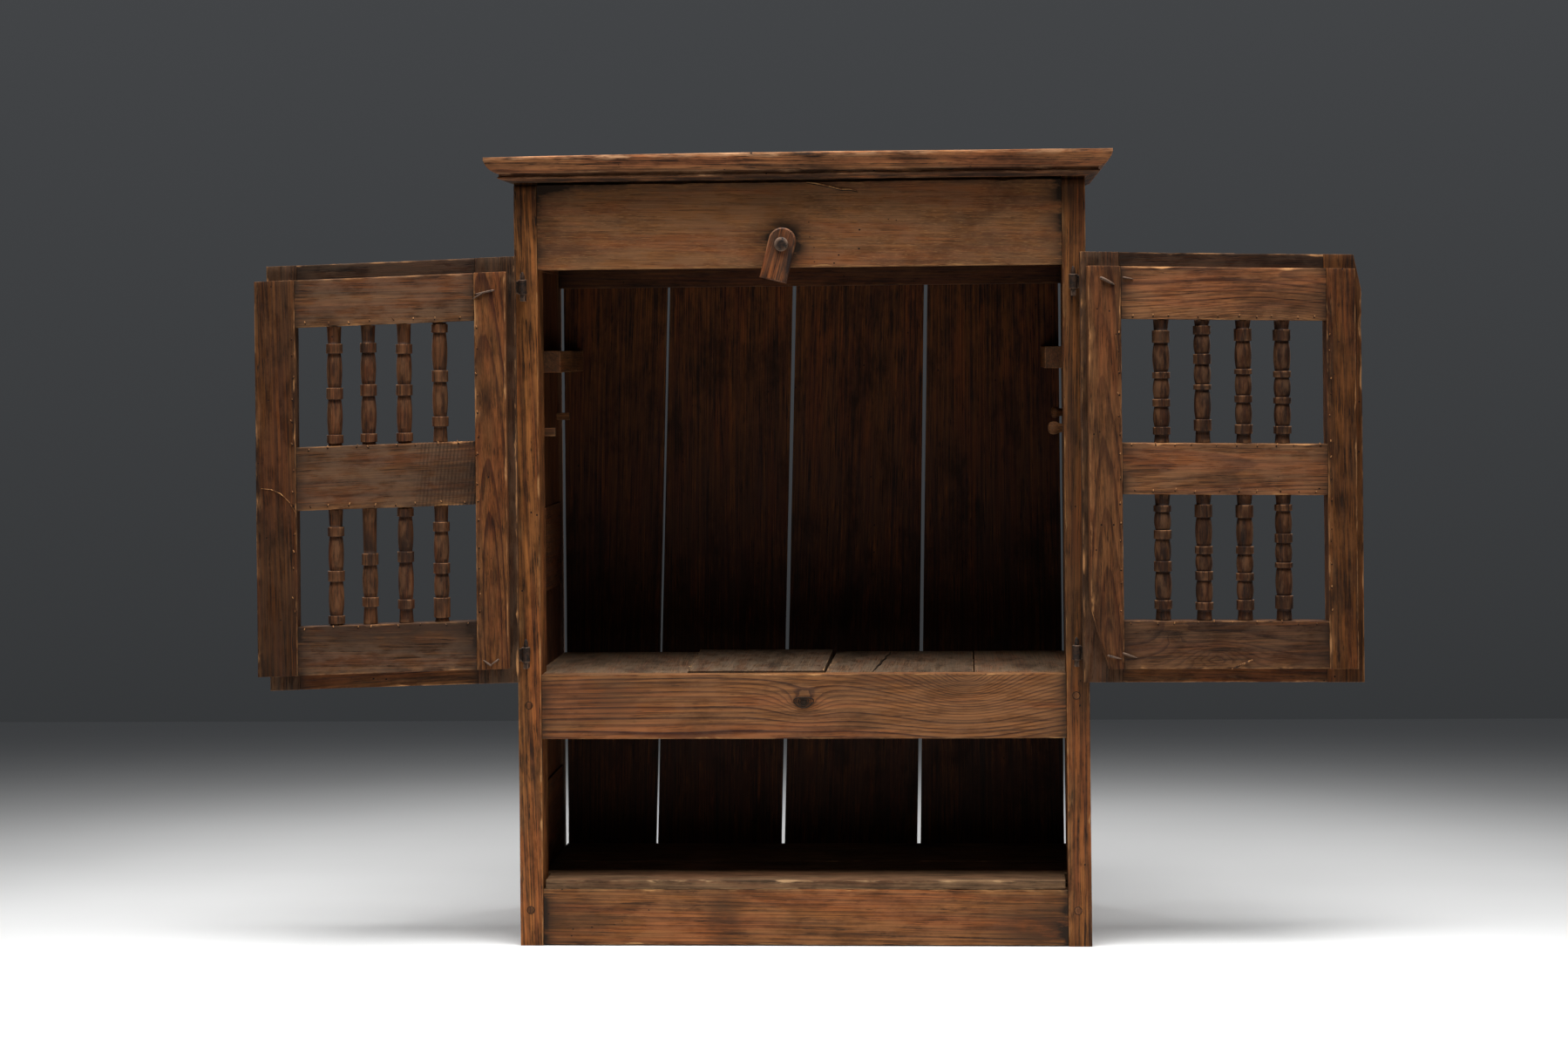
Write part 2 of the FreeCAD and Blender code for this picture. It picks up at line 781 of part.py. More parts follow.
def back_nails():
    nails = []
    for number in range(len(PLANK_TOP_SHARES) - 1):
        for rail, places in plank_nails(number).items():
            for x, z in places:
                start = (x, size.case_depth - size.nail_length, z)
                nails.append(rod("nail_shank", start, "y", size.nail_length, size.nail_diameter))
                nails.append(rod("nail_head", (x, size.case_depth, z), "y",
                                 size.nail_head_thickness, size.nail_head_diameter))
    finish_on_case(joined("back_nail_group", nails), "back_nails")


# Top


def top_board(name, y):
    body = new_body(name)
    block(body, "whole", (-HALF_CASE, HALF_CASE), y,
          (size.frame_height, size.frame_height + size.top_board_thickness))
    finish_on_case(body, name)


def cornice_outline():
    """The moulding's section: how far out of the case and how high each corner lies."""
    top = size.frame_height + size.cornice_rise
    return [
        (as_length(0), top - size.cornice_height),
        (size.cornice_foot, top - size.cornice_height),
        (size.fillet_reach, top - size.fillet_bottom),
        (size.fillet_reach, top - size.quirk_bottom),
        (size.quirk_depth, top - size.quirk_bottom),
        (size.quirk_depth, top - size.ovolo_bottom),
        (size.ovolo_foot, top - size.ovolo_bottom),
        (size.cornice_overhang, top - size.cornice_fascia),
        (size.cornice_overhang, top),
        (as_length(0), top),
    ]


def cornice_front():
    body = new_body("cornice_front")
    corners = [(-out, height) for out, height in cornice_outline()]
    width = grown((-HALF_CASE, HALF_CASE), size.cornice_overhang)
    slab(body, "moulding", corners, width, plane="YZ_Plane",
         bulges={OVOLO_EDGE: -size.ovolo_bulge})
    far = size.cornice_overhang + OVERRUN
    for side, direction in SIDES.items():
        waste = [
            (direction * (HALF_CASE - size.mitre_gap - OVERRUN), OVERRUN),
            (direction * (HALF_CASE - size.mitre_gap + far), -far),
            (direction * (HALF_CASE + far), OVERRUN),
        ]
        slab(body, side + "_mitre", waste, cornice_heights(), plane="XY_Plane", cut=True)
    finish_on_case(body, "cornice_front")


def cornice_heights():
    top = size.frame_height + size.cornice_rise
    return grown((top - size.cornice_height, top), OVERRUN)


def cornice_side(side):
    direction = SIDES[side]
    body = new_body("cornice_" + side)
    corners = [(direction * (HALF_CASE + out), height) for out, height in cornice_outline()]
    slab(body, "moulding", corners, (-size.cornice_overhang, size.case_depth),
         bulges={OVOLO_EDGE: direction * size.ovolo_bulge})
    far = size.cornice_overhang + OVERRUN
    waste = [
        (direction * (HALF_CASE - OVERRUN), OVERRUN),
        (direction * (HALF_CASE + far), -far),
        (direction * (HALF_CASE - OVERRUN), -far),
    ]
    slab(body, "mitre", waste, cornice_heights(), plane="XY_Plane", cut=True)
    finish_on_case(body, "cornice_" + side)


# Shelf, floor, bearers, cleats and pegs


def seam_x(share):
    return HALF_OPENING * (2 * share - 1)


def shelf_board(number):
    """One board of the shelf. The outer ones are notched round the front posts."""
    name = f"shelf_board_{number + 1}"
    body = new_body(name)
    front = RAIL_Y[1] + PLAY
    back = PLANK_FRONT - PLAY
    post_back = size.front_post_depth + PLAY
    last = len(SHELF_FRONT_SHARES) - 2
    gap = size.board_gap / 2
    if number == 0:
        corners = [
            (BACK_X[0] + PLAY, back),
            (BACK_X[0] + PLAY, post_back),
            (-HALF_OPENING + PLAY, post_back),
            (-HALF_OPENING + PLAY, front),
        ]
    else:
        corners = [
            (seam_x(SHELF_BACK_SHARES[number]) + gap, back),
            (seam_x(SHELF_FRONT_SHARES[number]) + gap, front),
        ]
    if number == last:
        corners += [
            (HALF_OPENING - PLAY, front),
            (HALF_OPENING - PLAY, post_back),
            (BACK_X[1] - PLAY, post_back),
            (BACK_X[1] - PLAY, back),
        ]
    else:
        corners += [
            (seam_x(SHELF_FRONT_SHARES[number + 1]) - gap, front),
            (seam_x(SHELF_BACK_SHARES[number + 1]) - gap, back),
        ]
    top = size.middle_rail_top + size.proud_board_rise if number == 1 else size.middle_rail_top
    slab(body, "whole", corners, (SHELF_BOTTOM, top), plane="XY_Plane")
    finish_on_case(body, name)


def floor_boards():
    floor_z = (size.bottom_rail_top, size.bottom_rail_top + size.floor_thickness)
    front = size.rail_setback
    seam = (front + PLANK_FRONT) / 2
    post_back = size.front_post_depth + PLAY
    at_posts = HALF_OPENING - size.floor_end_gap
    at_rails = SIDE_RAIL_X[0] - PLAY
    near = new_body("floor_board_front")
    corners = [
        (-at_posts, front),
        (at_posts, front),
        (at_posts, post_back),
        (at_rails, post_back),
        (at_rails, seam - size.board_gap / 2),
        (-at_rails, seam - size.board_gap / 2),
        (-at_rails, post_back),
        (-at_posts, post_back),
    ]
    slab(near, "whole", corners, floor_z, plane="XY_Plane")
    finish_on_case(near, "floor_board_front")
    far = new_body("floor_board_back")
    block(far, "whole", (-at_rails, at_rails),
          (seam + size.board_gap / 2, PLANK_FRONT - PLAY), floor_z)
    finish_on_case(far, "floor_board_back")


def board_bearers():
    """The bearer behind the middle rail, and one along each side under the floor."""
    bearers = [
        bar("shelf_bearer", (-HALF_OPENING + PLAY, HALF_OPENING - PLAY),
            (RAIL_Y[1], RAIL_Y[1] + size.bearer_width), (SHELF_BOTTOM - size.bearer_height,
                                                         SHELF_BOTTOM)),
    ]
    bearer_x = (SIDE_RAIL_X[0] - size.bearer_width, SIDE_RAIL_X[0])
    for side, direction in SIDES.items():
        bearers.append(
            bar(side + "_floor_bearer", ordered_x(direction, bearer_x),
                (size.front_post_depth, BACK_POST_FRONT),
                (size.bottom_rail_top - size.bearer_height, size.bottom_rail_top))
        )
    finish_on_case(group("bearer_group", bearers), "board_bearers")


def upper_cleats():
    cleat_top = BACK_TOP_RAIL_BOTTOM - size.cleat_drop
    cleats = [
        bar(side + "_cleat",
            ordered_x(direction, (HALF_OPENING - size.cleat_reach, BACK_POST_EDGES[side])),
            (size.front_post_depth, PLANK_FRONT), (cleat_top - size.cleat_height, cleat_top))
        for side, direction in SIDES.items()
    ]
    finish_on_case(group("cleat_group", cleats), "upper_cleats")


def shelf_peg_places(side):
    """The front and back peg in a side's upper panel."""
    door = doors[side]
    return [
        {"y": size.front_post_depth + size.front_peg_place, "z": size.front_peg_height,
         "width": door.front_peg_width, "reach": door.front_peg_reach},
        {"y": BACK_POST_FRONT - size.back_peg_place, "z": size.back_peg_height,
         "width": door.back_peg_width, "reach": door.back_peg_reach},
    ]


def shelf_pegs():
    """Square pegs on the left and round knobs on the right, each with a tenon in its panel."""
    pegs = []
    for side, direction in SIDES.items():
        for place in shelf_peg_places(side):
            shank_x = ordered_x(direction, (SIDE_PANEL_X[0] - place["reach"] / 2, SIDE_PANEL_X[1]))
            shank = rod("peg_tenon", (shank_x[0], place["y"], place["z"]), "x", extent(shank_x),
                        size.shelf_peg_tenon)
            head_x = ordered_x(direction, (SIDE_PANEL_X[0] - place["reach"], SIDE_PANEL_X[0]))
            if side == "left":
                head = bar("square_peg", head_x, centred(place["y"], place["width"]),
                           centred(place["z"], place["width"]))
            else:
                head = rod("round_peg", (head_x[0], place["y"], place["z"]), "x", extent(head_x),
                           place["width"])
            pegs += [shank, head]
    finish_on_case(joined("shelf_peg_group", pegs), "shelf_pegs")


# Pintles


def pintle_block_top(height):
    return height - size.eye_height / 2 - size.hinge_play


def pintle_block_middle(height):
    return pintle_block_top(height) - size.pintle_block_height / 2


def pintles():
    """Four upright pins on square blocks, each with a spike driven into its post."""
    irons = []
    for side in SIDES:
        x = pin_x(side)
        for height in HINGE_HEIGHTS.values():
            block_top = pintle_block_top(height)
            block_middle = pintle_block_middle(height)
            tip_bottom = height + size.eye_height / 2 + size.pin_tip_rise - size.pin_tip_length
            irons.append(rod("pin", (x, -size.pin_reach, block_middle), "z",
                             tip_bottom - block_middle, size.pin_diameter))
            tip = document.addObject("Part::Cone", "pin_tip")
            bind(tip, "Radius1", size.pin_diameter / 2)
            bind(tip, "Radius2", size.pin_diameter / 8)
            bind(tip, "Height", size.pin_tip_length)
            place_at(tip, x, -size.pin_reach, tip_bottom, TURNS["z"])
            irons.append(tip)
            block_y = (-size.pin_reach - size.pintle_block_width / 2, as_length(0))
            irons.append(bar("pintle_block", centred(x, size.pintle_block_width), block_y,
                             (block_top - size.pintle_block_height, block_top)))
            irons.append(bar("spike", centred(x, size.spike_width),
                             (-size.pin_reach, size.spike_length),
                             centred(block_middle, size.spike_width)))
    finish_on_case(joined("pintle_group", irons), "pintles")


# Latch


def latch():
    pivot = (MIDDLE_X - size.button_left_offset, FRONT_Y + size.rail_setback, BUTTON_HEIGHT)
    tongue_back = -size.button_standoff
    tongue_front = tongue_back - size.button_thickness
    button = new_body("turn_button")
    half = size.button_width / 2
    tongue = [
        (-half, -size.button_below),
        (half, -size.button_below),
        (half, size.button_above - half),
        (-half, size.button_above - half),
    ]
    slab(button, "tongue", tongue, (tongue_front, tongue_back))
    discs(button, "round_top", [(as_length(0), size.button_above - half)], size.button_width,
          (tongue_front, tongue_back))
    discs(button, "boss", [(as_length(0), as_length(0))], size.boss_diameter,
          (tongue_back - size.button_thickness / 2, -size.button_play))
    discs(button, "bore", [(as_length(0), as_length(0))],
          size.bolt_diameter + 2 * size.bolt_clearance,
          (tongue_front - OVERRUN, OVERRUN), cut=True)
    turn = f"rotation(vector(0; 1; 0); {size.button_tilt_angle.text})"
    place_at(button, *pivot, turn)
    button.Label = "turn_button"
    sub_parts.append(button)

    head_back = tongue_front - size.button_play
    nut_front = size.rail_thickness
    nut_back = nut_front + size.nut_thickness
    head_y = head_back - size.bolt_head_thickness
    head = document.addObject("Part::Cone", "bolt_head")
    bind(head, "Radius1", size.bolt_head_diameter / 3)
    bind(head, "Radius2", size.bolt_head_diameter / 2)
    bind(head, "Height", size.bolt_head_thickness)
    place_at(head, as_length(0), head_y, as_length(0), TURNS["y"])
    shank = rod("bolt_shank", (as_length(0), head_y, as_length(0)), "y",
                nut_back + size.bolt_end - head_y, size.bolt_diameter)
    half_nut = (-size.nut_width / 2, size.nut_width / 2)
    nut = bar("nut", half_nut, (nut_front, nut_back), half_nut)
    bolt = joined("latch_bolt", [head, shank, nut])
    place_at(bolt, *pivot, TURNS["z"])
    bolt.Label = "latch_bolt"
    sub_parts.append(bolt)


# Doors


def door_plan(side):
    """The lines of a closed door: u runs from the pin to the free edge, z up at the hinge edge."""
    door = doors[side]
    width = DOOR_WIDTHS[side]
    edge = door.pin_inset + size.door_side_gap
    free_edge = edge + width
    top = FRIEZE_BOTTOM - door.end_gap
    bottom = size.middle_rail_top + door.end_gap + door.door_drop
    windows = (top - bottom - door.top_rail_width - door.middle_rail_width
               - door.bottom_rail_width)
    upper_share = LEFT_UPPER_WINDOW_SHARE if side == "left" else RIGHT_UPPER_WINDOW_SHARE
    upper_low = top - door.top_rail_width - windows * upper_share
    lower_high = upper_low - door.middle_rail_width
    window = (edge + door.hinge_stile_width, free_edge - door.meeting_stile_width)
    return SimpleNamespace(
        hand=1 if side == "left" else -1,
        edge=edge,
        free_edge=free_edge,
        slope=door.door_drop / width,
        top=top,
        bottom=bottom,
        window=window,
        upper_window=(upper_low, top - door.top_rail_width),
        lower_window=(bottom + door.bottom_rail_width, lower_high),
        rails={
            "top_rail": (top - door.top_rail_width, top),
            "middle_rail": (lower_high, upper_low),
            "bottom_rail": (bottom, bottom + door.bottom_rail_width),
        },
    )


LIP_BACK = OUTER_FACE + size.lip_thickness
INNER_FACE = OUTER_FACE + size.door_thickness
OUTER_LAYER = (OUTER_FACE, LIP_BACK)
INNER_LAYER = (LIP_BACK, INNER_FACE)
DOOR_MIDDLE = middle((OUTER_FACE, INNER_FACE))
DOOR_TENON = centred(DOOR_MIDDLE, size.door_tenon_thickness)


def sagged(plan, u, z):
    """A point of the door, lowered as the door hangs out of square toward its free edge."""
    return (plan.hand * u, z - plan.slope * (u - plan.edge))


def sagged_rectangle(plan, across, up):
    return [sagged(plan, u, z) for u, z in rectangle(across, up)]


def mortise_rails(body, plan, across):
    for rail, heights in plan.rails.items():
        tenon_z = grown(heights, -size.door_tenon_shoulder)
        slab(body, rail + "_mortise", sagged_rectangle(plan, across, grown(tenon_z, PLAY)),
             grown(DOOR_TENON, PLAY), cut=True)


def hinge_stile(side, plan):
    door = doors[side]
    body = new_body(side + "_door_hinge_stile")
    height = (plan.bottom, plan.top)
    outer = (plan.edge - door.side_lip, plan.window[0])
    slab(body, "outer_layer", sagged_rectangle(plan, outer, grown(height, door.end_lip)),
         OUTER_LAYER)
    slab(body, "inner_layer", sagged_rectangle(plan, (plan.edge, plan.window[0]), height),
         INNER_LAYER)
    mortise = (plan.window[0] - size.door_tenon_length - PLAY, plan.window[0] + OVERRUN)
    mortise_rails(body, plan, mortise)
    holes = [(x, z) for hinge in HINGE_HEIGHTS.values() for x, z in strap_nails(plan, hinge)]
    discs(body, "nail_holes", holes, size.nail_diameter + 2 * PLAY,
          grown((OUTER_FACE, INNER_FACE), OVERRUN), cut=True)
    finish_on_door(body, side + "_door_hinge_stile", side)


def meeting_stile(side, plan):
    """The left one is cut back in front to take the lip that the right one carries."""
    door = doors[side]
    body = new_body(side + "_door_meeting_stile")
    height = (plan.bottom, plan.top)
    lipped = grown(height, door.end_lip)
    free = plan.free_edge
    if side == "left":
        outer = (plan.window[1], free - door.meeting_cutback)
    else:
        outer = (plan.window[1], free)
    slab(body, "outer_layer", sagged_rectangle(plan, outer, lipped), OUTER_LAYER)
    slab(body, "inner_layer", sagged_rectangle(plan, (plan.window[1], free), height), INNER_LAYER)
    if side == "left":
        relief = (free - door.meeting_cutback, free + OVERRUN)
        slab(body, "lip_relief", sagged_rectangle(plan, relief, grown(height, OVERRUN)),
             (LIP_BACK - OVERRUN, LIP_BACK + size.meeting_clearance), cut=True)
    else:
        lip_edge = free + door.meeting_lip
        chipped_lip = [
            sagged(plan, free - door.meeting_lip, lipped[0]),
            sagged(plan, lip_edge, lipped[0]),
            sagged(plan, lip_edge, lipped[1] - size.lip_chip_drop),
            sagged(plan, free, lipped[1]),
            sagged(plan, free - door.meeting_lip, lipped[1]),
        ]
        slab(body, "meeting_lip", chipped_lip, (OUTER_FACE, LIP_BACK - size.meeting_clearance))
    mortise = (plan.window[1] - OVERRUN, plan.window[1] + size.door_tenon_length + PLAY)
    mortise_rails(body, plan, mortise)
    finish_on_door(body, side + "_door_meeting_stile", side)


def door_rail(side, plan, rail):
    door = doors[side]
    low, high = plan.rails[rail]
    name = f"{side}_door_{rail}"
    body = new_body(name)
    outer_low = low - door.end_lip if rail == "bottom_rail" else low
    outer_high = high + door.end_lip if rail == "top_rail" else high
    slab(body, "outer_layer", sagged_rectangle(plan, plan.window, (outer_low, outer_high)),
         OUTER_LAYER)
    slab(body, "inner_layer", sagged_rectangle(plan, plan.window, (low, high)), INNER_LAYER)
    tenon = sagged_rectangle(plan, grown(plan.window, size.door_tenon_length),
                             grown((low, high), -size.door_tenon_shoulder))
    slab(body, "tenons", tenon, DOOR_TENON)
    depth = size.spindle_tenon_length + PLAY
    drilled = [edge for edge, other in ((low, "bottom_rail"), (high, "top_rail")) if rail != other]
    for edge in drilled:
        for u in spindle_places(plan):
            x, z = sagged(plan, u, edge)
            discs(body, "spindle_hole", [(x, DOOR_MIDDLE)],
                  2 * (size.spindle_tenon_radius + PLAY), centred(z, 2 * depth),
                  plane="XY_Plane", cut=True)
    finish_on_door(body, name, side)


def spindle_places(plan):
    return [plan.window[0] + share * extent(plan.window) for share in SPINDLE_SHARES]


def spindle_outline(door, low, high, collars):
    """The turned outline from the axis out, with swelling beads between the collars."""
    length = high - low
    axis = as_length(0)
    corners = [
        (axis, high + size.spindle_tenon_length),
        (size.spindle_tenon_radius, high + size.spindle_tenon_length),
        (size.spindle_tenon_radius, high),
        (door.spindle_end_radius, high),
    ]
    bulges = {}
    for number, (place, width) in enumerate(collars):
        collar_top = high - (place - width / 2) * length
        collar_bottom = high - (place + width / 2) * length
        corners.append((door.neck_radius, collar_top))
        if number:
            bulges[len(corners) - 2] = door.neck_radius - door.bead_radius
        corners += [
            (door.collar_radius, collar_top),
            (door.collar_radius, collar_bottom),
            (door.neck_radius, collar_bottom),
        ]
    corners += [
        (door.spindle_end_radius, low),
        (size.spindle_tenon_radius, low),
        (size.spindle_tenon_radius, low - size.spindle_tenon_length),
        (axis, low - size.spindle_tenon_length),
    ]
    return corners, bulges


def spindles(side, plan, window, heights):
    members = []
    for u, collars in zip(spindle_places(plan), COLLAR_SHARES[f"{side}_{window}"]):
        body = new_body(f"{side}_{window}_spindle")
        x, low = sagged(plan, u, heights[0] + size.spindle_play)
        high = sagged(plan, u, heights[1] - size.spindle_play)[1]
        lathe(body, "turning", *spindle_outline(doors[side], low, high, collars))
        place_at(body, x, DOOR_MIDDLE, as_length(0), TURNS["z"])
        members.append(body)
    name = f"{side}_door_{window}_spindles"
    finish_on_door(group(name + "_group", members), name, side)


# Strap eyes


def strap_nails(plan, height):
    return [
        (plan.hand * size.first_nail_place, height + size.strap_nail_rise),
        (plan.hand * size.second_nail_place, height - size.strap_nail_rise),
    ]


def strap_eye(side, plan, hinge, height):
    body = new_body(f"{side}_{hinge}_strap")
    centre = [(as_length(0), as_length(0))]
    eye_z = centred(height, size.eye_height)
    discs(body, "eye", centre, size.eye_diameter, eye_z, plane="XY_Plane")
    leaf_x = (as_length(0), plan.hand * size.strap_length)
    leaf_y = centred(as_length(0), size.strap_thickness)
    block(body, "leaf", leaf_x, leaf_y, centred(height, size.strap_width))
    discs(body, "bore", centre, size.pin_diameter + 2 * size.pin_clearance,
          grown(eye_z, OVERRUN), plane="XY_Plane", cut=True)
    discs(body, "nail_holes", strap_nails(plan, height), size.nail_diameter + 2 * PLAY,
          grown(leaf_y, OVERRUN), cut=True)
    return body


def clinched_nails(side, plan, height):
    """Nails through strap and stile, with their points bent over on the inner face."""
    shapes = []
    head_y = -OUTER_FACE - size.nail_head_thickness
    leg_y = INNER_FACE + size.nail_diameter / 2
    for x, z in strap_nails(plan, height):
        shapes.append(rod("strap_nail_head", (x, head_y, z), "y", size.nail_head_thickness,
                          size.nail_head_diameter))
        shapes.append(rod("strap_nail_shank", (x, head_y, z), "y", leg_y - head_y,
                          size.nail_diameter))
        leg_x = ordered_x(plan.hand, (plan.hand * x, plan.hand * x + size.clinch_length))
        shapes.append(rod("strap_nail_leg", (leg_x[0], leg_y, z), "x", size.clinch_length,
                          size.nail_diameter))
    return joined(side + "_strap_nails", shapes)


def hinge_straps(side, plan):
    members = []
    for hinge, height in HINGE_HEIGHTS.items():
        members.append(strap_eye(side, plan, hinge, height))
        members.append(clinched_nails(side, plan, height))
    name = side + "_door_hinge_straps"
    finish_on_door(group(name + "_group", members), name, side)


def build_door(side):
    plan = door_plan(side)
    hinge_stile(side, plan)
    meeting_stile(side, plan)
    for rail in plan.rails:
        door_rail(side, plan, rail)
    spindles(side, plan, "upper", plan.upper_window)
    spindles(side, plan, "lower", plan.lower_window)
    hinge_straps(side, plan)


def build_case():
    for side in SIDES:
        front_post(side)
        back_post(side)
        cornice_side(side)
        for rail, heights in SIDE_RAIL_HEIGHTS.items():
            side_rail(side, rail, heights)
        for panel, heights in SIDE_PANEL_HEIGHTS.items():
            side_panel(side, panel, heights)
    for rail, heights in FRONT_RAIL_HEIGHTS.items():
        front_rail(rail, heights)
    for rail, heights in BACK_RAIL_HEIGHTS.items():
        back_rail(rail, heights)
    for number in range(len(PLANK_TOP_SHARES) - 1):
        back_plank(number)
    for number in range(len(SHELF_FRONT_SHARES) - 1):
        shelf_board(number)
    seam = size.case_depth / 2
    top_board("top_board_front", (as_length(0), seam - size.board_gap / 2))
    top_board("top_board_back", (seam + size.board_gap / 2, size.case_depth))
    cornice_front()
    floor_boards()
    board_bearers()
    upper_cleats()
    shelf_pegs()
    frame_pegs()
    back_nails()
    pintles()


def check_document():
    """Stop at any object that failed, and at any sub-part without a sound shape."""
    for feature in document.Objects:
        if "Invalid" in feature.State or "Error" in feature.State:
            raise RuntimeError(f"{feature.Name} did not recompute: {feature.State}")
    for feature in sub_parts:
        if feature.Shape.isNull() or not feature.Shape.isValid() or not feature.Shape.Solids:
            raise RuntimeError(f"{feature.Label} has no sound shape")


def export_parts():
    os.makedirs("parts", exist_ok=True)
    for feature in sub_parts:
        feature.Shape.exportStep(f"parts/{feature.Label}.step")
        print(feature.Label, len(feature.Shape.Solids), round(feature.Shape.Volume))


build_case()
latch()
for door_side in SIDES:
    build_door(door_side)
document.recompute()
check_document()
export_parts()
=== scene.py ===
import json
import math
import random
from types import SimpleNamespace

import bpy
from mathutils import Matrix, Vector, noise


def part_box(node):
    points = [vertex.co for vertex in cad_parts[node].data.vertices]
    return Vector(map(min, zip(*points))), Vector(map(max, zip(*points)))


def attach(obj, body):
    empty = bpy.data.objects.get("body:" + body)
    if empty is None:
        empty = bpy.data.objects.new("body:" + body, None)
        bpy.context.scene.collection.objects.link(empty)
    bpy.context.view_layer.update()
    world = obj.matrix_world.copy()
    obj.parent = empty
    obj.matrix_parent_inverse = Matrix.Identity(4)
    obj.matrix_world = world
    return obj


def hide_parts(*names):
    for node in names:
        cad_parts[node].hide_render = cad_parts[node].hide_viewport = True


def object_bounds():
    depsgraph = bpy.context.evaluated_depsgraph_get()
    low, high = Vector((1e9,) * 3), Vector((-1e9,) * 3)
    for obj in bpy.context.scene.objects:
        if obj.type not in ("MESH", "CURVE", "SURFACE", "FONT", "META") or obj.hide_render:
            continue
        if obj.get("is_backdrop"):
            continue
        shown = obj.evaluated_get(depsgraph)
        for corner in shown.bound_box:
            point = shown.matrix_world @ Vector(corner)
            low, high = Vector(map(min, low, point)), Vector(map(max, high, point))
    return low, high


# A rustic cupboard with its spindled doors open. Each board is swept along its grain with worn
# edges, and carries the figure of the log it was cut from. Sizes are in metres.

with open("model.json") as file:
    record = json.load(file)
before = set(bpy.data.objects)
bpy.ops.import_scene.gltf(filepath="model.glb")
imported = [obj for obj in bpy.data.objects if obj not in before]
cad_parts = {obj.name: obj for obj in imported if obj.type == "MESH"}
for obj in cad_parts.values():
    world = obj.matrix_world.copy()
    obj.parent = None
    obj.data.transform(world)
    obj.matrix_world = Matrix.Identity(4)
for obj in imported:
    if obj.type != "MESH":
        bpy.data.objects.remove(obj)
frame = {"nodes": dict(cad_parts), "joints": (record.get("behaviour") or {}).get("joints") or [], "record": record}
cad_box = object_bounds()
record = frame["record"]
BODY_OF = {node: body for body, nodes in record["behaviour"]["bodies"].items() for node in nodes}
SLOT_OF = {part["node"]: part["material_slot"] for part in record["subparts"]}

MM = 0.001

# The camera, in the photograph's frame of 1799 by 1200 pixels
PHOTO_WIDTH = 1799
CAMERA_PLACE = (0.276, -5.534, 1.053)
CAMERA_YAW = math.radians(3.4)
CAMERA_ROLL = math.radians(-0.55)
CAMERA_FOCAL_PIXELS = 3491
HORIZON_SHIFT_PIXELS = -200.5
SENSOR_WIDTH = 36

# How a swept board is divided, and how its edges wear
BOARD_STEP = 10 * MM
FLAT_STEP = 13 * MM
SUPPORT = 1.6 * MM
ARC_SHARES = (0, 0.25, 0.5, 0.75, 1)
END_TURNS = (90, 60, 30, 0)
EDGE_RADIUS = 1.3 * MM
END_RADIUS = 0.8 * MM
WORN_RADIUS = 2.2 * MM
PLANE_WAVE = 0.35 * MM
# How far the darkening reaches from a rail's end at a joint: dirt and painted shade.
GRIME_AND_SHADE_REACH = 14 * MM
JOINT_LINE = 0.25 * MM
# How dark the saw-mark furrows are painted: painted shade in the furrows.
RIPPLE_SHADE = 1400

ORIGIN = Vector((0, 0, 0))
# Turns the upright axis of a lathe to the back
LAID_BACK = Matrix.Rotation(math.radians(-90), 4, "X")

# The middle rail's knot: from the rail's left end, and above its middle
KNOT = (0.4645, 0.0077)


# Meshes

# What the materials read at each point of a mesh
LABELS = ("grain", "wear", "cut", "tint", "mood")


class Shape:
    """Points and faces, with what the materials read at each point."""

    def __init__(self):
        self.points, self.faces, self.smooth = [], [], []
        self.read = {label: [] for label in LABELS}

    def add_point(self, place, grain, wear, cut, swirl=0.0):
        self.points.append(place)
        values = (grain, wear, (cut.spacing, cut.figure, cut.tone),
                  (cut.warm, cut.grey, swirl), (cut.patina, cut.contrast, cut.fuzz))
        for label, value in zip(LABELS, values):
            self.read[label].append(value)
        return len(self.points) - 1

    def add_face(self, corners, smooth=True):
        self.faces.append(tuple(corners))
        self.smooth.append(smooth)

    def join(self, rings):
        """Quads between rings of as many points each."""
        for low, high in zip(rings, rings[1:]):
            for index in range(len(low)):
                following = (index + 1) % len(low)
                self.add_face((low[index], low[following], high[following], high[index]))

    def close(self, first, last):
        self.add_face(reversed(first), smooth=False)
        self.add_face(last, smooth=False)

    def make(self, name):
        mesh = bpy.data.meshes.new(name)
        mesh.from_pydata(self.points, [], self.faces)
        mesh.polygons.foreach_set("use_smooth", self.smooth)
        for label, values in self.read.items():
            attribute = mesh.attributes.new(label, "FLOAT_VECTOR", "POINT")
            attribute.data.foreach_set("vector", [part for value in values for part in value])
        mesh.validate()
        mesh.update()
        made = bpy.data.objects.new(name, mesh)
        bpy.context.scene.collection.objects.link(made)
        return made


def wood_cut(name, **given):
    """How a board lay in its log, and how it is coloured. The name seeds what isn't given."""
    chance = random.Random(name)
    turn = chance.uniform(0, 2 * math.pi)
    depth = chance.uniform(0.05, 0.13)
    look = {
        "pith": (depth * math.cos(turn), depth * math.sin(turn)),
        "tilt": (chance.uniform(-0.03, 0.03), chance.uniform(-0.03, 0.03)),
        "spacing": chance.uniform(0.0035, 0.0055),
        "figure": 0.55,
        "tone": chance.uniform(-0.1, 0.1),
        "warm": chance.uniform(0.2, 0.6),
        "grey": chance.uniform(0.0, 0.2),
        "patina": 0.5,
        "contrast": 1.0,
        "fuzz": 0.0,
        "swirls": (),
        "stains": (),
        "start": chance.uniform(0, 40),
        "seed": chance.uniform(0, 500),
        "chips": 1.0,
    }
    look.update(given)
    return SimpleNamespace(**look)


def turned_normal(angle):
    return Vector((math.cos(angle), math.sin(angle)))


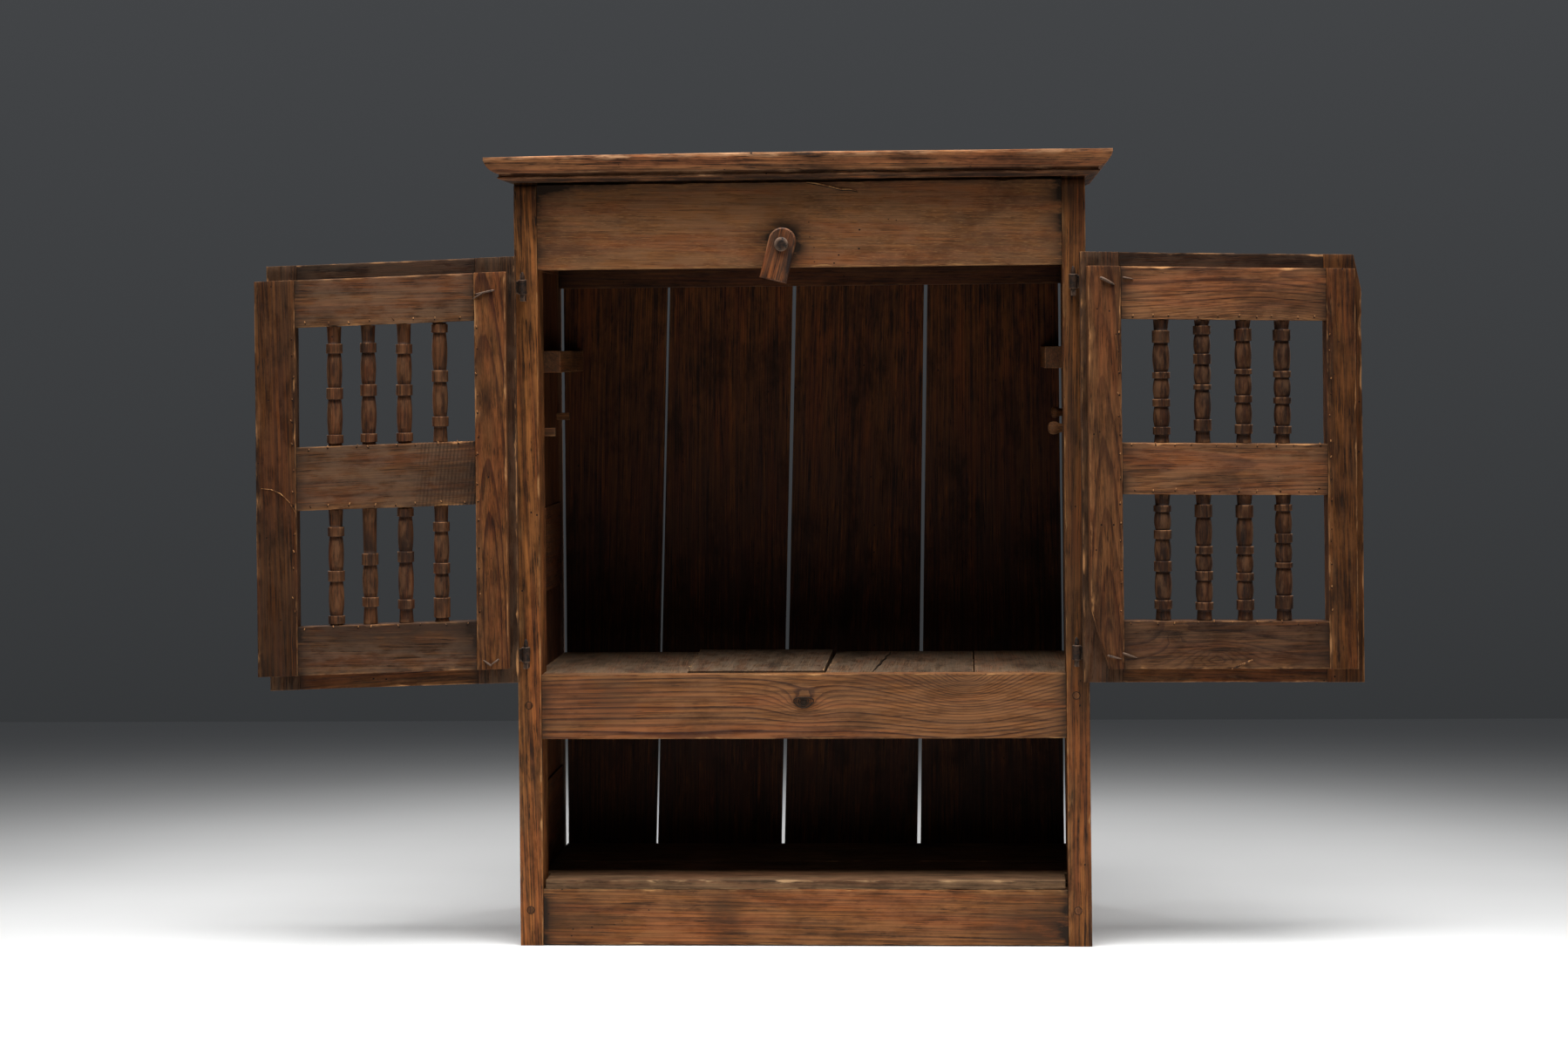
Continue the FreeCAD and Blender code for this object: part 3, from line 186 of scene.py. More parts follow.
class Section:
    """A polygon across the grain whose corners are rounded by a radius of their own."""

    def __init__(self, corners):
        self.corners = [Vector(corner[:2]) for corner in corners]
        self.radii = [corner[2] for corner in corners]
        self.arcs = [self.arc(index) for index in range(len(corners))]
        self.flats = [self.flat_shares(index) for index in range(len(corners))]

    def after(self, index):
        return (index + 1) % len(self.corners)

    def arc(self, index):
        """Offsets from the corner for a radius of one, each with its outward direction."""
        here = self.corners[index]
        into = (here - self.corners[index - 1]).normalized()
        out = (self.corners[self.after(index)] - here).normalized()
        turn = math.atan2(into.x * out.y - into.y * out.x, into.dot(out))
        start = math.atan2(-into.x, into.y)
        if not self.radii[index]:
            return [(Vector((0, 0)), turned_normal(start + turn / 2))]
        side = 1 if turn > 0 else -1
        root = -into * math.tan(abs(turn) / 2) - side * turned_normal(start)
        normals = [turned_normal(start + turn * share) for share in ARC_SHARES]
        return [(root + side * normal, normal) for normal in normals]

    def flat_shares(self, index):
        length = (self.corners[self.after(index)] - self.corners[index]).length
        if length < 5 * SUPPORT:
            return []
        pieces = max(1, round(length / FLAT_STEP))
        inner = [step / pieces for step in range(1, pieces)]
        return [SUPPORT / length, *inner, 1 - SUPPORT / length]

    def ring(self, radii):
        """The points for these radii: place, normal, how worn it lies, and the corner nearby."""
        points = []
        for index, corner in enumerate(self.corners):
            for offset, normal in self.arcs[index]:
                worn = 1.0 if radii[index] else 0.0
                points.append((corner + offset * radii[index], normal, worn, index))
            following = self.after(index)
            first = corner + self.arcs[index][-1][0] * radii[index]
            last = self.corners[following] + self.arcs[following][0][0] * radii[following]
            way = (last - first).normalized()
            for share in self.flats[index]:
                near = index if share < 0.5 else following
                worn = 0.3 if share == self.flats[index][0] and radii[near] else 0.0
                points.append((first.lerp(last, share), Vector((way.y, -way.x)), worn, near))
        return points


def edge_chips(chance, length, amount):
    """Places along an edge where a splinter has gone: middle, half length and depth."""
    count = int(chance.uniform(0.4, 1.6) * amount * length / 0.16)
    return [
        (chance.uniform(0, length), chance.uniform(6, 26) * MM, chance.uniform(0.4, 2.2) * MM)
        for _ in range(count)
    ]


def hills(spots, along, across, power):
    """The sum of hills at (along, across), each with its height and its two reaches."""
    total = 0.0
    for place, height, reach_along, reach_across in spots:
        far = ((along - place[0]) / reach_along) ** 2 + ((across - place[1]) / reach_across) ** 2
        total += height * math.exp(-((far + 0.01) ** power))
    return total


# How steeply knots, and stains and painted shade, fall away
KNOT_SHAPE = 0.5
STAIN_SHAPE = 1.5


def extent(points, axes=3):
    return tuple(
        Vector(pick(point[axis] for point in points) for axis in range(axes))
        for pick in (min, max)
    )


def sweep(shape, corners, span, cut, matrix, warp=None, grimy=False, extra=(),
          end_radius=END_RADIUS, wave=PLANE_WAVE, step=BOARD_STEP, ripple=None):
    """A board along its grain: its local axes are along, across and through.

    A warp moves its points, and a ripple says how much deeper each one lies; its furrows also get painted shade.
    """
    section = Section(corners)
    chance = random.Random(cut.seed)
    start, end = span
    length = end - start
    chips = [edge_chips(chance, length, cut.chips) for _ in corners]
    turns = [math.radians(turn) for turn in END_TURNS]
    ends = [(end_radius * (1 - math.sin(turn)), end_radius * (1 - math.cos(turn)))
            for turn in turns]
    pieces = max(2, round((length - 2 * end_radius) / step))
    inner = [end_radius + (length - 2 * end_radius) * index / pieces
             for index in range(1, pieces)]
    inner += [place - start for place in extra]
    stations = ends + [(place, 0) for place in inner]
    stations += [(length - place, inset) for place, inset in ends]
    low, high = extent(section.corners, 2)
    middle = (low + high) / 2
    wide = high.x - low.x > high.y - low.y
    rings = []
    for along, inset in sorted(stations):
        radii = []
        chipped = []
        for index, radius in enumerate(section.radii):
            worn = radius * (0.8 + 0.8 * noise.noise(Vector((along * 14, index * 7.3, cut.seed))))
            gone = sum(depth * max(0, 1 - ((along - place) / half) ** 2)
                       for place, half, depth in chips[index])
            radii.append(max(worn, radius * 0.35) + gone if radius else 0)
            chipped.append(gone / MM)
        # A board that butts posts darkens towards its ends: dirt, and painted shade at the joints.
        nearest = min(along, length - along) if grimy else 1
        rounded = 0.8 if inset > 0.3 * end_radius else 0
        ring = []
        for place, normal, edge, near in section.ring(radii):
            grime_and_shade = math.exp(-nearest / GRIME_AND_SHADE_REACH)
            at = Vector((along * 7, place.x * 20, place.y * 20 + cut.seed))
            sink = wave * (0.6 - noise.noise(at)) + 0.3 * wave * (0.6 - noise.noise(at * 5))
            if ripple:
                furrow = ripple(along, place)
                sink += furrow
                # Painted shade in the ripple's furrows.
                grime_and_shade += furrow * RIPPLE_SHADE
            spot = place - normal * (max(sink, 0) + inset)
            local = Vector((start + along, spot.x, spot.y))
            if warp:
                local = warp(local)
            off = place - middle
            lean = along - length / 2
            grain = (off.x - cut.pith[0] - cut.tilt[0] * lean,
                     off.y - cut.pith[1] - cut.tilt[1] * lean, along + cut.start)
            level = off.x if wide else off.y
            # Stains, and painted shade where the cut's list puts it.
            grime_and_shade += hills(cut.stains, along, level, STAIN_SHAPE)
            swirl = hills(cut.swirls, along, level, KNOT_SHAPE)
            wear = (max(edge * min(1.6, 0.7 + 0.5 * chipped[near]), rounded), 0, grime_and_shade)
            ring.append(shape.add_point(matrix @ local, grain, wear, cut, swirl))
        rings.append(ring)
    shape.join(rings)
    caps = []
    for ring in (rings[0], rings[-1]):
        caps.append([
            shape.add_point(shape.points[index], shape.read["grain"][index],
                            (0.2, 1, shape.read["wear"][index][2] * 0.5), cut)
            for index in ring])
    shape.close(*caps)


def put(local, place, value):
    """A point with one of its three values changed."""
    moved = local.copy()
    moved[place] = value
    return moved


AXES = {
    "x": Matrix(((1, 0, 0), (0, 1, 0), (0, 0, 1))).to_4x4(),
    "y": Matrix(((0, 0, 1), (1, 0, 0), (0, 1, 0))).to_4x4(),
    "z": Matrix(((0, 1, 0), (0, 0, 1), (1, 0, 0))).to_4x4(),
}
GRAIN_ORDER = {"x": (0, 1, 2), "y": (1, 2, 0), "z": (2, 0, 1)}


def beam(shape, low, high, axis, cut, place=Matrix(), radii=(EDGE_RADIUS,) * 4, **how):
    """A board with four corners, from its lowest to its highest corner, along an axis."""
    along, across, through = GRAIN_ORDER[axis]
    sides = ((low, low), (high, low), (high, high), (low, high))
    corners = [(one[across], other[through], radius)
               for (one, other), radius in zip(sides, radii)]
    sweep(shape, corners, (low[along], high[along]), cut, place @ AXES[axis], **how)


def around(count):
    return [2 * math.pi * step / count for step in range(count)]


def skin(shape, rings, cut):
    """Join rings of (place, grain, wear), and close them at both ends."""
    rings = [[shape.add_point(place, grain, wear, cut) for place, grain, wear in ring]
             for ring in rings]
    shape.join(rings)
    shape.close(rings[0], rings[-1])


def lathe(shape, profile, middle, cut, place=Matrix(), sides=28, wobble=0.25 * MM):
    """Turn a profile of (height, radius, wear, grime and shade) about an upright axis."""
    rings = []
    for height, radius, worn, grime_and_shade in profile:
        ring = []
        for angle in around(sides):
            way = Vector((math.cos(angle), math.sin(angle), 0))
            at = Vector((way.x, way.y, height * 30 + cut.seed))
            out = max(radius + wobble * noise.noise(at) * (1 if radius > MM else 0), 0.02 * MM)
            local = middle + way * out + Vector((0, 0, height))
            grain = (way.x * radius - cut.pith[0], way.y * radius - cut.pith[1],
                     height + cut.start)
            ring.append((place @ local, grain, (worn, 0, grime_and_shade)))
        rings.append(ring)
    skin(shape, rings, cut)


def tube(shape, path, radii, cut, place=Matrix(), sides=10, flatten=1.0, wear=(0, 0, 0)):
    """A bar bent along a path, such as a nail, thick in places as the radii say."""
    rings = []
    for index, here in enumerate(path):
        ahead = path[min(index + 1, len(path) - 1)] - path[max(index - 1, 0)]
        ahead.normalize()
        side = ahead.cross(Vector((0, 0, 1)))
        if side.length < 0.1:
            side = ahead.cross(Vector((0, 1, 0)))
        side.normalize()
        up = side.cross(ahead)
        ring = []
        for angle in around(sides):
            out = side * math.cos(angle) + up * math.sin(angle) * flatten
            spot = here + out * radii[index]
            ring.append((place @ spot, tuple(spot), wear))
        rings.append(ring)
    skin(shape, rings, cut)


def plate(shape, outline, back, front, bevel, cut, place=Matrix()):
    """An upright plate whose front, at the lower y, has a bevelled rim. Counter-clockwise."""
    middle = sum((Vector(point) for point in outline), Vector((0, 0))) / len(outline)
    rings = []
    for y, inset in ((back, 0.0), (front + bevel, 0.0), (front + bevel * 0.3, bevel * 0.3),
                     (front, bevel)):
        ring = []
        for x, z in outline:
            off = Vector((x, z)) - middle
            kept = Vector((x, z)) - off.normalized() * inset
            worn = 0.9 if inset and y > front else 0.15
            grain = (off.x - cut.pith[0], y - cut.pith[1], off.y + cut.start)
            ring.append((place @ Vector((kept.x, y, kept.y)), grain, (worn, 0, 0)))
        rings.append(ring)
    skin(shape, rings, cut)


# Materials


class Tree:
    """The nodes of a material or a world, added one by one."""

    def __init__(self, owner, shader="Principled BSDF"):
        owner.use_nodes = True
        self.owner = owner
        self.nodes = owner.node_tree.nodes
        self.shader = self.nodes[shader]

    def feed(self, socket, value):
        if isinstance(value, bpy.types.NodeSocket):
            self.owner.node_tree.links.new(value, socket)
        else:
            socket.default_value = value

    def add(self, kind, values=(), **settings):
        """A node with its settings, whose sockets are fed by name or number."""
        node = self.nodes.new("ShaderNode" + kind)
        for name, setting in settings.items():
            setattr(node, name, setting)
        for socket, value in dict(values).items():
            self.feed(node.inputs[socket], value)
        return node

    def finish(self, values):
        """Feed the shader's own sockets."""
        for name, value in values.items():
            self.feed(self.shader.inputs[name], value)
        return self.owner

    def attribute(self, name):
        return self.add("Attribute", attribute_name=name).outputs["Vector"]

    def parts(self, vector):
        return self.add("SeparateXYZ", {0: vector}).outputs

    def work(self, operation, *values, clamp=False):
        node = self.add("Math", enumerate(values), operation=operation, use_clamp=clamp)
        return node.outputs[0]

    def times(self, first, second, clamp=False):
        return self.work("MULTIPLY", first, second, clamp=clamp)

    def plus(self, base, value, factor=1.0):
        """The base and factor times the value."""
        return self.work("MULTIPLY_ADD", value, factor, base)

    def stretch(self, vector, scale):
        return self.add("VectorMath", {0: vector, 1: scale}, operation="MULTIPLY").outputs[0]

    def noise(self, vector, scale, detail=2.0, roughness=0.5):
        values = {"Vector": self.stretch(vector, scale), "Scale": 1.0, "Detail": detail,
                  "Roughness": roughness}
        return self.add("TexNoise", values).outputs[0]

    def between(self, value, low, high):
        """Zero up to low, one from high on, and smooth from one to the other."""
        values = {"Value": value, "From Min": low, "From Max": high}
        return self.add("MapRange", values, interpolation_type="SMOOTHSTEP").outputs[0]

    def blend(self, share, first, second, how="MIX"):
        values = {0: share, 6: first, 7: second}
        return self.add("Mix", values, data_type="RGBA", blend_type=how).outputs[2]

    def multiply(self, first, second):
        return self.blend(1.0, first, second, "MULTIPLY")

    def bump(self, height, distance, strength):
        values = {"Height": height, "Distance": distance, "Strength": strength}
        return self.add("Bump", values).outputs[0]


def wood_material(name, *colours, holes=0.5, shine=0.3, relief=0.5):
    """Old softwood: rings and knots, fibres, grime and painted shade in hollows and at joints, pale worn edges
    with painted highlights, worm holes.
    """
    early, late, deep, worn = ((*colour, 1) for colour in colours)
    tree = Tree(bpy.data.materials.new(name))
    noise, between, blend, times, plus = (
        tree.noise, tree.between, tree.blend, tree.times, tree.plus)
    grain = tree.attribute("grain")
    edge, end_grain, grime_and_shade = tree.parts(tree.attribute("wear"))
    spacing, figure, tone = tree.parts(tree.attribute("cut"))
    warm, pale, swirl = tree.parts(tree.attribute("tint"))
    patina, contrast, fuzz = tree.parts(tree.attribute("mood"))
    across, through, _ = tree.parts(grain)

    squared = plus(times(across, across), times(through, through))
    radius = plus(tree.work("SQRT", squared), noise(grain, (6, 6, 0.9), 3), 0.02)
    radius = plus(radius, noise(grain, (70, 70, 5), 2), 0.0022)
    phase = plus(swirl, tree.work("DIVIDE", radius, spacing))
    part = tree.work("FRACT", phase)
    chance = tree.add("TexWhiteNoise", noise_dimensions="1D")
    tree.feed(chance.inputs["W"], tree.work("FLOOR", phase))
    line = times(between(part, 0.42, 0.86), plus(1.0, between(part, 0.93, 1.0), -1.0))
    line = times(line, plus(0.4, chance.outputs["Value"], 0.6))
    line = times(line, figure)

    fibre = noise(grain, (1300, 1300, 24), 2, 0.6)
    streak = noise(grain, (190, 190, 2.6), 3, 0.6)
    thread = noise(grain, (480, 480, 9), 2, 0.6)
    pores = noise(grain, (620, 620, 22), 2, 0.5)
    blotch = noise(grain, (13, 13, 6), 5, 0.66)
    cloud = noise(grain, (46, 46, 18), 4, 0.66)
    shade = plus(between(streak, 0.36, 0.64), between(thread, 0.38, 0.62), 0.8)
    shade = plus(plus(shade, between(cloud, 0.36, 0.64), 0.7), fibre)
    shade = plus(1.0, times(plus(-1.75, shade), contrast), 0.52)
    shade = times(tree.work("MAXIMUM", shade, 0.12), plus(1.0, tone))
    dull = tree.add("CombineColor", enumerate((shade, shade, shade))).outputs[0]
    colour = tree.multiply(blend(line, early, late), dull)
    colour = blend(warm, colour, tree.multiply(colour, (1.0, 0.78, 0.4, 1)))
    ruddy = times(0.5, between(noise(grain, (28, 28, 3), 3, 0.6), 0.45, 0.62))
    colour = blend(ruddy, colour, tree.multiply(colour, (1.05, 0.72, 0.6, 1)))
    dusty = blend(0.55, colour, (0.1, 0.075, 0.052, 1))
    colour = blend(times(pale, between(cloud, 0.38, 0.6)), colour, dusty)
    pore = times(between(pores, 0.56, 0.66), between(cloud, 0.62, 0.4))
    dash = times(between(noise(grain, (800, 800, 70), 1), 0.58, 0.7), fuzz)
    dirt = times(between(blotch, 0.46, 0.7), patina)
    # The edge mask pales worn edges, and also carries painted highlights on spindle rims and bulges and on the
    # doors' top edges.
    rubbed = between(noise(grain, (90, 90, 22), 3, 0.65), 0.42, 0.64)
    rubbed = times(times(edge, rubbed), 0.8, clamp=True)
    # Grime, and painted shade under the cornice, low on the back planks, at joints and in saw marks.
    soiled_and_shaded = times(times(grime_and_shade, between(cloud, 0.25, 0.6)), 0.95, clamp=True)
    worms = tree.add("TexVoronoi", {"Vector": tree.stretch(grain, (95, 95, 70)), "Scale": 1.0})
    chosen = tree.parts(worms.outputs["Color"])[0]
    chosen = between(chosen, 1.0 - 0.12 * holes, 1.0 - 0.1 * holes)
    hole = times(plus(1.0, between(worms.outputs["Distance"], 0.1, 0.16), -1.0), chosen)
    for share, layer_colour in (
            (times(pore, times(contrast, 0.75)), deep),
            (times(dash, between(blotch, 0.35, 0.6)), worn), (dirt, deep), (rubbed, worn),
            (soiled_and_shaded, deep), (times(end_grain, 0.5), deep), (hole, (0.006, 0.003, 0.002, 1))):
        colour = blend(share, colour, layer_colour)

    rough = plus(plus(0.75 - 0.6 * shine, streak, 0.25), dirt, 0.15)
    height = plus(plus(fibre, line, 0.5), thread, 0.6)
    height = plus(plus(plus(height, cloud), pore, -1.2), hole, -3.0)
    return tree.finish({
        "Base Color": colour, "Roughness": plus(rough, rubbed, 0.1),
        "Specular IOR Level": 0.1 + 0.3 * shine, "Normal": tree.bump(height, 0.6 * MM, relief)})


def iron_material():
    """Forged iron, dull dark brown, and paler where it has been hammered or rubbed."""
    tree = Tree(bpy.data.materials.new("forged_iron"))
    grain = tree.attribute("grain")
    hammered = tree.parts(tree.attribute("wear"))[0]
    mottle = tree.noise(grain, (160, 160, 160), 4, 0.6)
    pits = tree.noise(grain, (700, 700, 700), 3, 0.6)
    colour = tree.blend(tree.between(mottle, 0.4, 0.62), (0.012, 0.008, 0.006, 1),
                        (0.04, 0.019, 0.01, 1))
    colour = tree.blend(tree.between(pits, 0.62, 0.72), colour, (0.07, 0.048, 0.036, 1))
    rubbed = tree.times(hammered, tree.between(mottle, 0.3, 0.5))
    return tree.finish({
        "Base Color": tree.blend(rubbed, colour, (0.24, 0.15, 0.1, 1)),
        "Roughness": tree.plus(0.5, mottle, 0.3), "Metallic": 0.1, "Specular IOR Level": 0.2,
        "Normal": tree.bump(tree.plus(mottle, pits), 0.4 * MM, 0.6)})


def floor_material():
    tree = Tree(bpy.data.materials.new("pale_floor"))
    mottle = tree.noise(tree.add("NewGeometry").outputs["Position"], (1.5, 1.5, 1.5), 3)
    return tree.finish({
        "Base Color": tree.blend(mottle, (0.74, 0.74, 0.735, 1), (0.82, 0.82, 0.815, 1)),
        "Roughness": tree.plus(0.5, mottle, 0.2)})


# Each wood's colours, for its early and late wood, its grime and painted shade, and its worn edges and painted
# highlights, and its finish
WOODS = {
    "frame_wood": (
        ((0.205, 0.088, 0.031), (0.044, 0.013, 0.005), (0.017, 0.008, 0.003), (0.4, 0.2, 0.075)),
        {"holes": 0.5}),
    "door_wood": (
        ((0.17, 0.071, 0.026), (0.05, 0.015, 0.006), (0.017, 0.008, 0.004), (0.38, 0.18, 0.07)),
        {"holes": 0.8, "shine": 0.18}),
    "spindle_wood": (
        ((0.14, 0.055, 0.02), (0.05, 0.016, 0.007), (0.015, 0.008, 0.005), (0.34, 0.16, 0.07)),
        {"holes": 0.2, "shine": 0.25, "relief": 0.3}),
    "inner_wood": (
        ((0.08, 0.027, 0.006), (0.034, 0.009, 0.003), (0.008, 0.003, 0.0015), (0.12, 0.05, 0.015)),
        {"holes": 0.4}),
    "shelf_wood": (
        ((0.145, 0.085, 0.048), (0.055, 0.03, 0.017), (0.02, 0.012, 0.007), (0.3, 0.18, 0.09)),
        {"holes": 0.4, "shine": 0.1}),
    "cornice_wood": (
        ((0.16, 0.068, 0.027), (0.055, 0.018, 0.008), (0.014, 0.007, 0.004), (0.5, 0.26, 0.13)),
        {"holes": 0.8}),
    "button_wood": (
        ((0.22, 0.07, 0.02), (0.022, 0.007, 0.004), (0.012, 0.006, 0.004), (0.36, 0.16, 0.07)),
        {"holes": 0.2, "shine": 0.6}),
    "peg_wood": (
        ((0.14, 0.058, 0.02), (0.05, 0.018, 0.007), (0.02, 0.01, 0.005), (0.3, 0.15, 0.06)),
        {"holes": 0.3}),
}
MATERIALS = {slot: wood_material(slot, *colours, **finish)
             for slot, (colours, finish) in WOODS.items()}
MATERIALS["iron"] = iron_material()


def dress(shape, node):
    """Make the piece that stands for a node, on the node's body and with its material."""
    piece = shape.make(node + "_worn")
    slot = SLOT_OF[node]
    piece.data.materials.append(MATERIALS[slot])
    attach(piece, BODY_OF[node])
    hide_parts(node)


def board(node, *given, **how):
    """A piece that is a single beam."""
    shape = Shape()
    beam(shape, *given, **how)
    dress(shape, node)


# Reading places from the frame


def corners_of(node, to_local=Matrix()):
    return [to_local @ vertex.co for vertex in frame["nodes"][node].data.vertices]


def layer_points(points, axis, pick):
    """The points that lie furthest to one side along an axis."""
    level = pick(point[axis] for point in points)
    return [point for point in points if abs(point[axis] - level) < 0.05 * MM]


def layer(points, axis, pick):
    return extent(layer_points(points, axis, pick))


def joint_place(name):
    return Vector(next(joint for joint in frame["joints"] if joint["name"] == name)["pos_m"])


def islands(node):
    """The separate solids of a node, as lists of points."""
    mesh = frame["nodes"][node].data
    parent = list(range(len(mesh.vertices)))

    def root(index):
        while parent[index] != index:
            parent[index] = parent[parent[index]]
            index = parent[index]
        return index

    seen = {}
    for vertex in mesh.vertices:
        key = tuple(round(number, 6) for number in vertex.co)
        parent[vertex.index] = seen.setdefault(key, vertex.index)
    for edge in mesh.edges:
        parent[root(edge.vertices[0])] = root(edge.vertices[1])
    groups = {}
    for vertex in mesh.vertices:
        groups.setdefault(root(vertex.index), []).append(vertex.co.copy())
    return sorted(groups.values(), key=lambda group: tuple(extent(group)[0]))


# The dark gap below the cornice, where the posts and the frieze are cut back
GAP_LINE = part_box("cornice_front")[0].z - 4 * MM
GAP_DEPTH = 6 * MM

POST_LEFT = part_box("front_post_left")
POST_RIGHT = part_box("front_post_right")
BACK_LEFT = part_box("back_post_left")
BACK_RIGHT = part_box("back_post_right")


# The case


def rail_box(node, post, far_post, axis=0):
    """A rail's box without its tenons, a joint line short of the posts at both ends."""
    low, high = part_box(node)
    low[axis] = post[1][axis] + JOINT_LINE
    high[axis] = far_post[0][axis] - JOINT_LINE
    return low, high


def posts():
    looks = {
        # The front posts' stains at 1.34 and 1.35 m are painted shade in the gap under the cornice.
        "front_post_left": {"warm": 0.85, "tone": 0.0, "contrast": 1.5,
                            "stains": (((1.35, 0), 0.8, 0.05, 1),)},
        "front_post_right": {"warm": 0.85, "tone": -0.17, "contrast": 1.4,
                             "stains": (((0.75, 0), 0.55, 0.42, 1), ((1.34, 0), 0.7, 0.06, 1))},
        "back_post_left": {"tone": -0.25},
        "back_post_right": {"tone": -0.25},
    }
    for node, look in looks.items():
        low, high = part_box(node)
        cut = wood_cut(node, pith=(0.05, 0.11), spacing=0.0055, figure=0.7, patina=0.7, **look)

        def set_back(local):
            if local[0] > GAP_LINE and local[2] < low.y + GAP_DEPTH:
                return put(local, 2, low.y + GAP_DEPTH)
            return local

        gap = {"warp": set_back, "extra": (GAP_LINE, GAP_LINE + JOINT_LINE)}
        board(node, low, high, "z", cut, **(gap if node.startswith("front") else {}))


def front_rails():
    cuts = {
        # The frieze's stains high up, just under the cornice, are grime and also the cornice's painted shadow.
        "frieze_rail": {
            "pith": (0.03, 0.3), "spacing": 0.006, "figure": 0.08, "tone": 0.06, "warm": 0.25,
            "grey": 0.5, "contrast": 0.6, "patina": 0.5, "fuzz": 0.5, "chips": 2.5,
            "stains": (((0.435, -0.0495), 1.7, 0.04, 0.04), ((0.0, 0.09), 0.7, 0.25, 0.05),
                       ((0.5, 0.085), 1.2, 0.9, 0.03), ((0.02, 0.062), 1.6, 0.03, 0.012),
                       ((0.92, 0.06), 0.4, 0.04, 0.1))},
        "middle_rail": {
            "pith": (0.045, -0.1), "tilt": (0.0, 0.02), "spacing": 0.0068, "figure": 1.0,
            "tone": -0.01, "warm": 0.4, "grey": 0.35, "contrast": 0.8, "patina": 0.35,
            "swirls": (((0.752, 0.054), 17.0, 0.1, 0.07), (KNOT, 8.0, 0.028, 0.016),
                       ((0.27, -0.09), 6.0, 0.2, 0.04)),
            "stains": (((0.12, 0.02), 0.45, 0.06, 0.05), ((0.6, 0.05), 0.35, 0.08, 0.02),
                       (KNOT, 1.1, 0.02, 0.011))},
        "bottom_rail": {
            "pith": (0.02, -0.2), "spacing": 0.007, "figure": 0.6, "tone": 0.0, "warm": 0.6,
            "grey": 0.3, "contrast": 1.1, "patina": 0.4,
            "stains": (((0.32, -0.01), 0.7, 0.03, 0.06), ((0.88, -0.02), 0.75, 0.09, 0.05),
                       ((0.03, 0.0), 0.35, 0.09, 0.08))},
    }
    for node, look in cuts.items():
        low, high = rail_box(node, POST_LEFT, POST_RIGHT)
        shape = Shape()
        cut = wood_cut(node, **look)
        if node == "frieze_rail":
            gap = low.y + GAP_DEPTH
            corners = [(low.y, low.z, WORN_RADIUS), (high.y, low.z, EDGE_RADIUS),
                       (high.y, high.z, EDGE_RADIUS), (gap, high.z, 0), (gap, GAP_LINE, 0),
                       (low.y, GAP_LINE, EDGE_RADIUS)]
            sweep(shape, corners, (low.x, high.x), cut, AXES["x"], grimy=True)
            splinter(shape, Vector((low.x, low.y, 0)), cut)
        else:
            beam(shape, low, high, "x", cut, grimy=True)
        if node == "middle_rail":
            centre = (low.x + KNOT[0], low.y, (low.z + high.z) / 2 + KNOT[1])
            knot_hole(shape, Vector(centre), cut)
        dress(shape, node)


def scored(shape, points, radius, cut, wear, place=Matrix()):
    """A thin raised line on a face, pale where fibres are torn, dark where they have split, and dark too where it
    is a painted shadow.
    """
    count = len(points)
    radii = [radius * (0.25 + 0.75 * math.sin(math.pi * (index + 0.5) / count))
             for index in range(count)]
    tube(shape, points, radii, cut, place, sides=6, wear=wear)


def dark_ring(shape, points, radius, cut, dark):
    """A dark line round a peg or a knot."""
    points = [*points, points[0]]
    tube(shape, points, [radius] * len(points), cut, sides=6, wear=(0, 0, dark))


def pit(shape, centre, profile, cut, placed=Matrix(), **how):
    """A small dark hollow in an upright face, from its depths and radii."""
    dark = [(depth, radius, 0, 3) for depth, radius in profile]
    lay = placed @ Matrix.Translation(centre) @ LAID_BACK
    lathe(shape, dark, ORIGIN, cut, lay, **how)


def splinter(shape, corner, cut):
    """The long splinter that has lifted from the frieze to the right of its middle."""
    run = ((0.478, 1.345), (0.493, 1.343), (0.508, 1.34), (0.524, 1.336), (0.539, 1.332),
           (0.553, 1.332), (0.567, 1.329))
    points = [corner + Vector((along, 0, z)) for along, z in run]
    scored(shape, points, 1.6 * MM, cut, (2.4, 0, 0))
    shadow = [point + Vector((0.001, 0, -0.0024)) for point in points]
    scored(shape, shadow, 1.2 * MM, cut, (0, 0, 1.6))


def knot_hole(shape, centre, cut):
    """The hole in the middle rail's knot, inside two dark rings."""
    for wide, high, thick in ((17 * MM, 9 * MM, 1.3 * MM), (9 * MM, 6 * MM, 1.1 * MM)):
        rim = []
        for angle in around(18):
            reach = 1 + 0.12 * math.sin(3 * angle)
            rim.append(centre + Vector((wide * reach * math.cos(angle), 0,
                                        high * reach * math.sin(angle))))
        dark_ring(shape, rim, thick, cut, 1.6)
    pit(shape, centre, ((-0.4 * MM, 2 * MM), (-0.1 * MM, 5 * MM), (0.3 * MM, 6 * MM)), cut,
        sides=12)


def side_frames():
    for side, post, behind in (("left", POST_LEFT, BACK_LEFT), ("right", POST_RIGHT, BACK_RIGHT)):
        for rail in ("top", "middle", "bottom"):
            node = f"side_{rail}_rail_{side}"
            low, high = rail_box(node, post, behind, axis=1)
            board(node, low, high, "y", wood_cut(node, tone=0.1), grimy=True)
        for panel in ("upper", "lower"):
            node = f"side_{panel}_panel_{side}"
            board(node, *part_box(node), "z", wood_cut(node, tone=0.05, figure=0.6, spacing=0.007))


def between_sides(local, low, high, axis, place, sides):
    """Move a point of a board from its box to between sides that each run from one x to another."""
    share = (local[0] - low[axis]) / (high[axis] - low[axis])
    left, right = (start + (end - start) * share for start, end in sides)
    within = (local[place] - low.x) / (high.x - low.x)
    return put(local, place, left + (right - left) * within)


# In the photo the light gaps are narrower than between the solids: how far each plank's sides
# stand further out at its foot, in mm. At its top it is half of that.
PLANK_SIDES = ((-1.4, 1.8), (-1.8, 0.6), (-0.4, 0.9), (-0.5, 4.4))


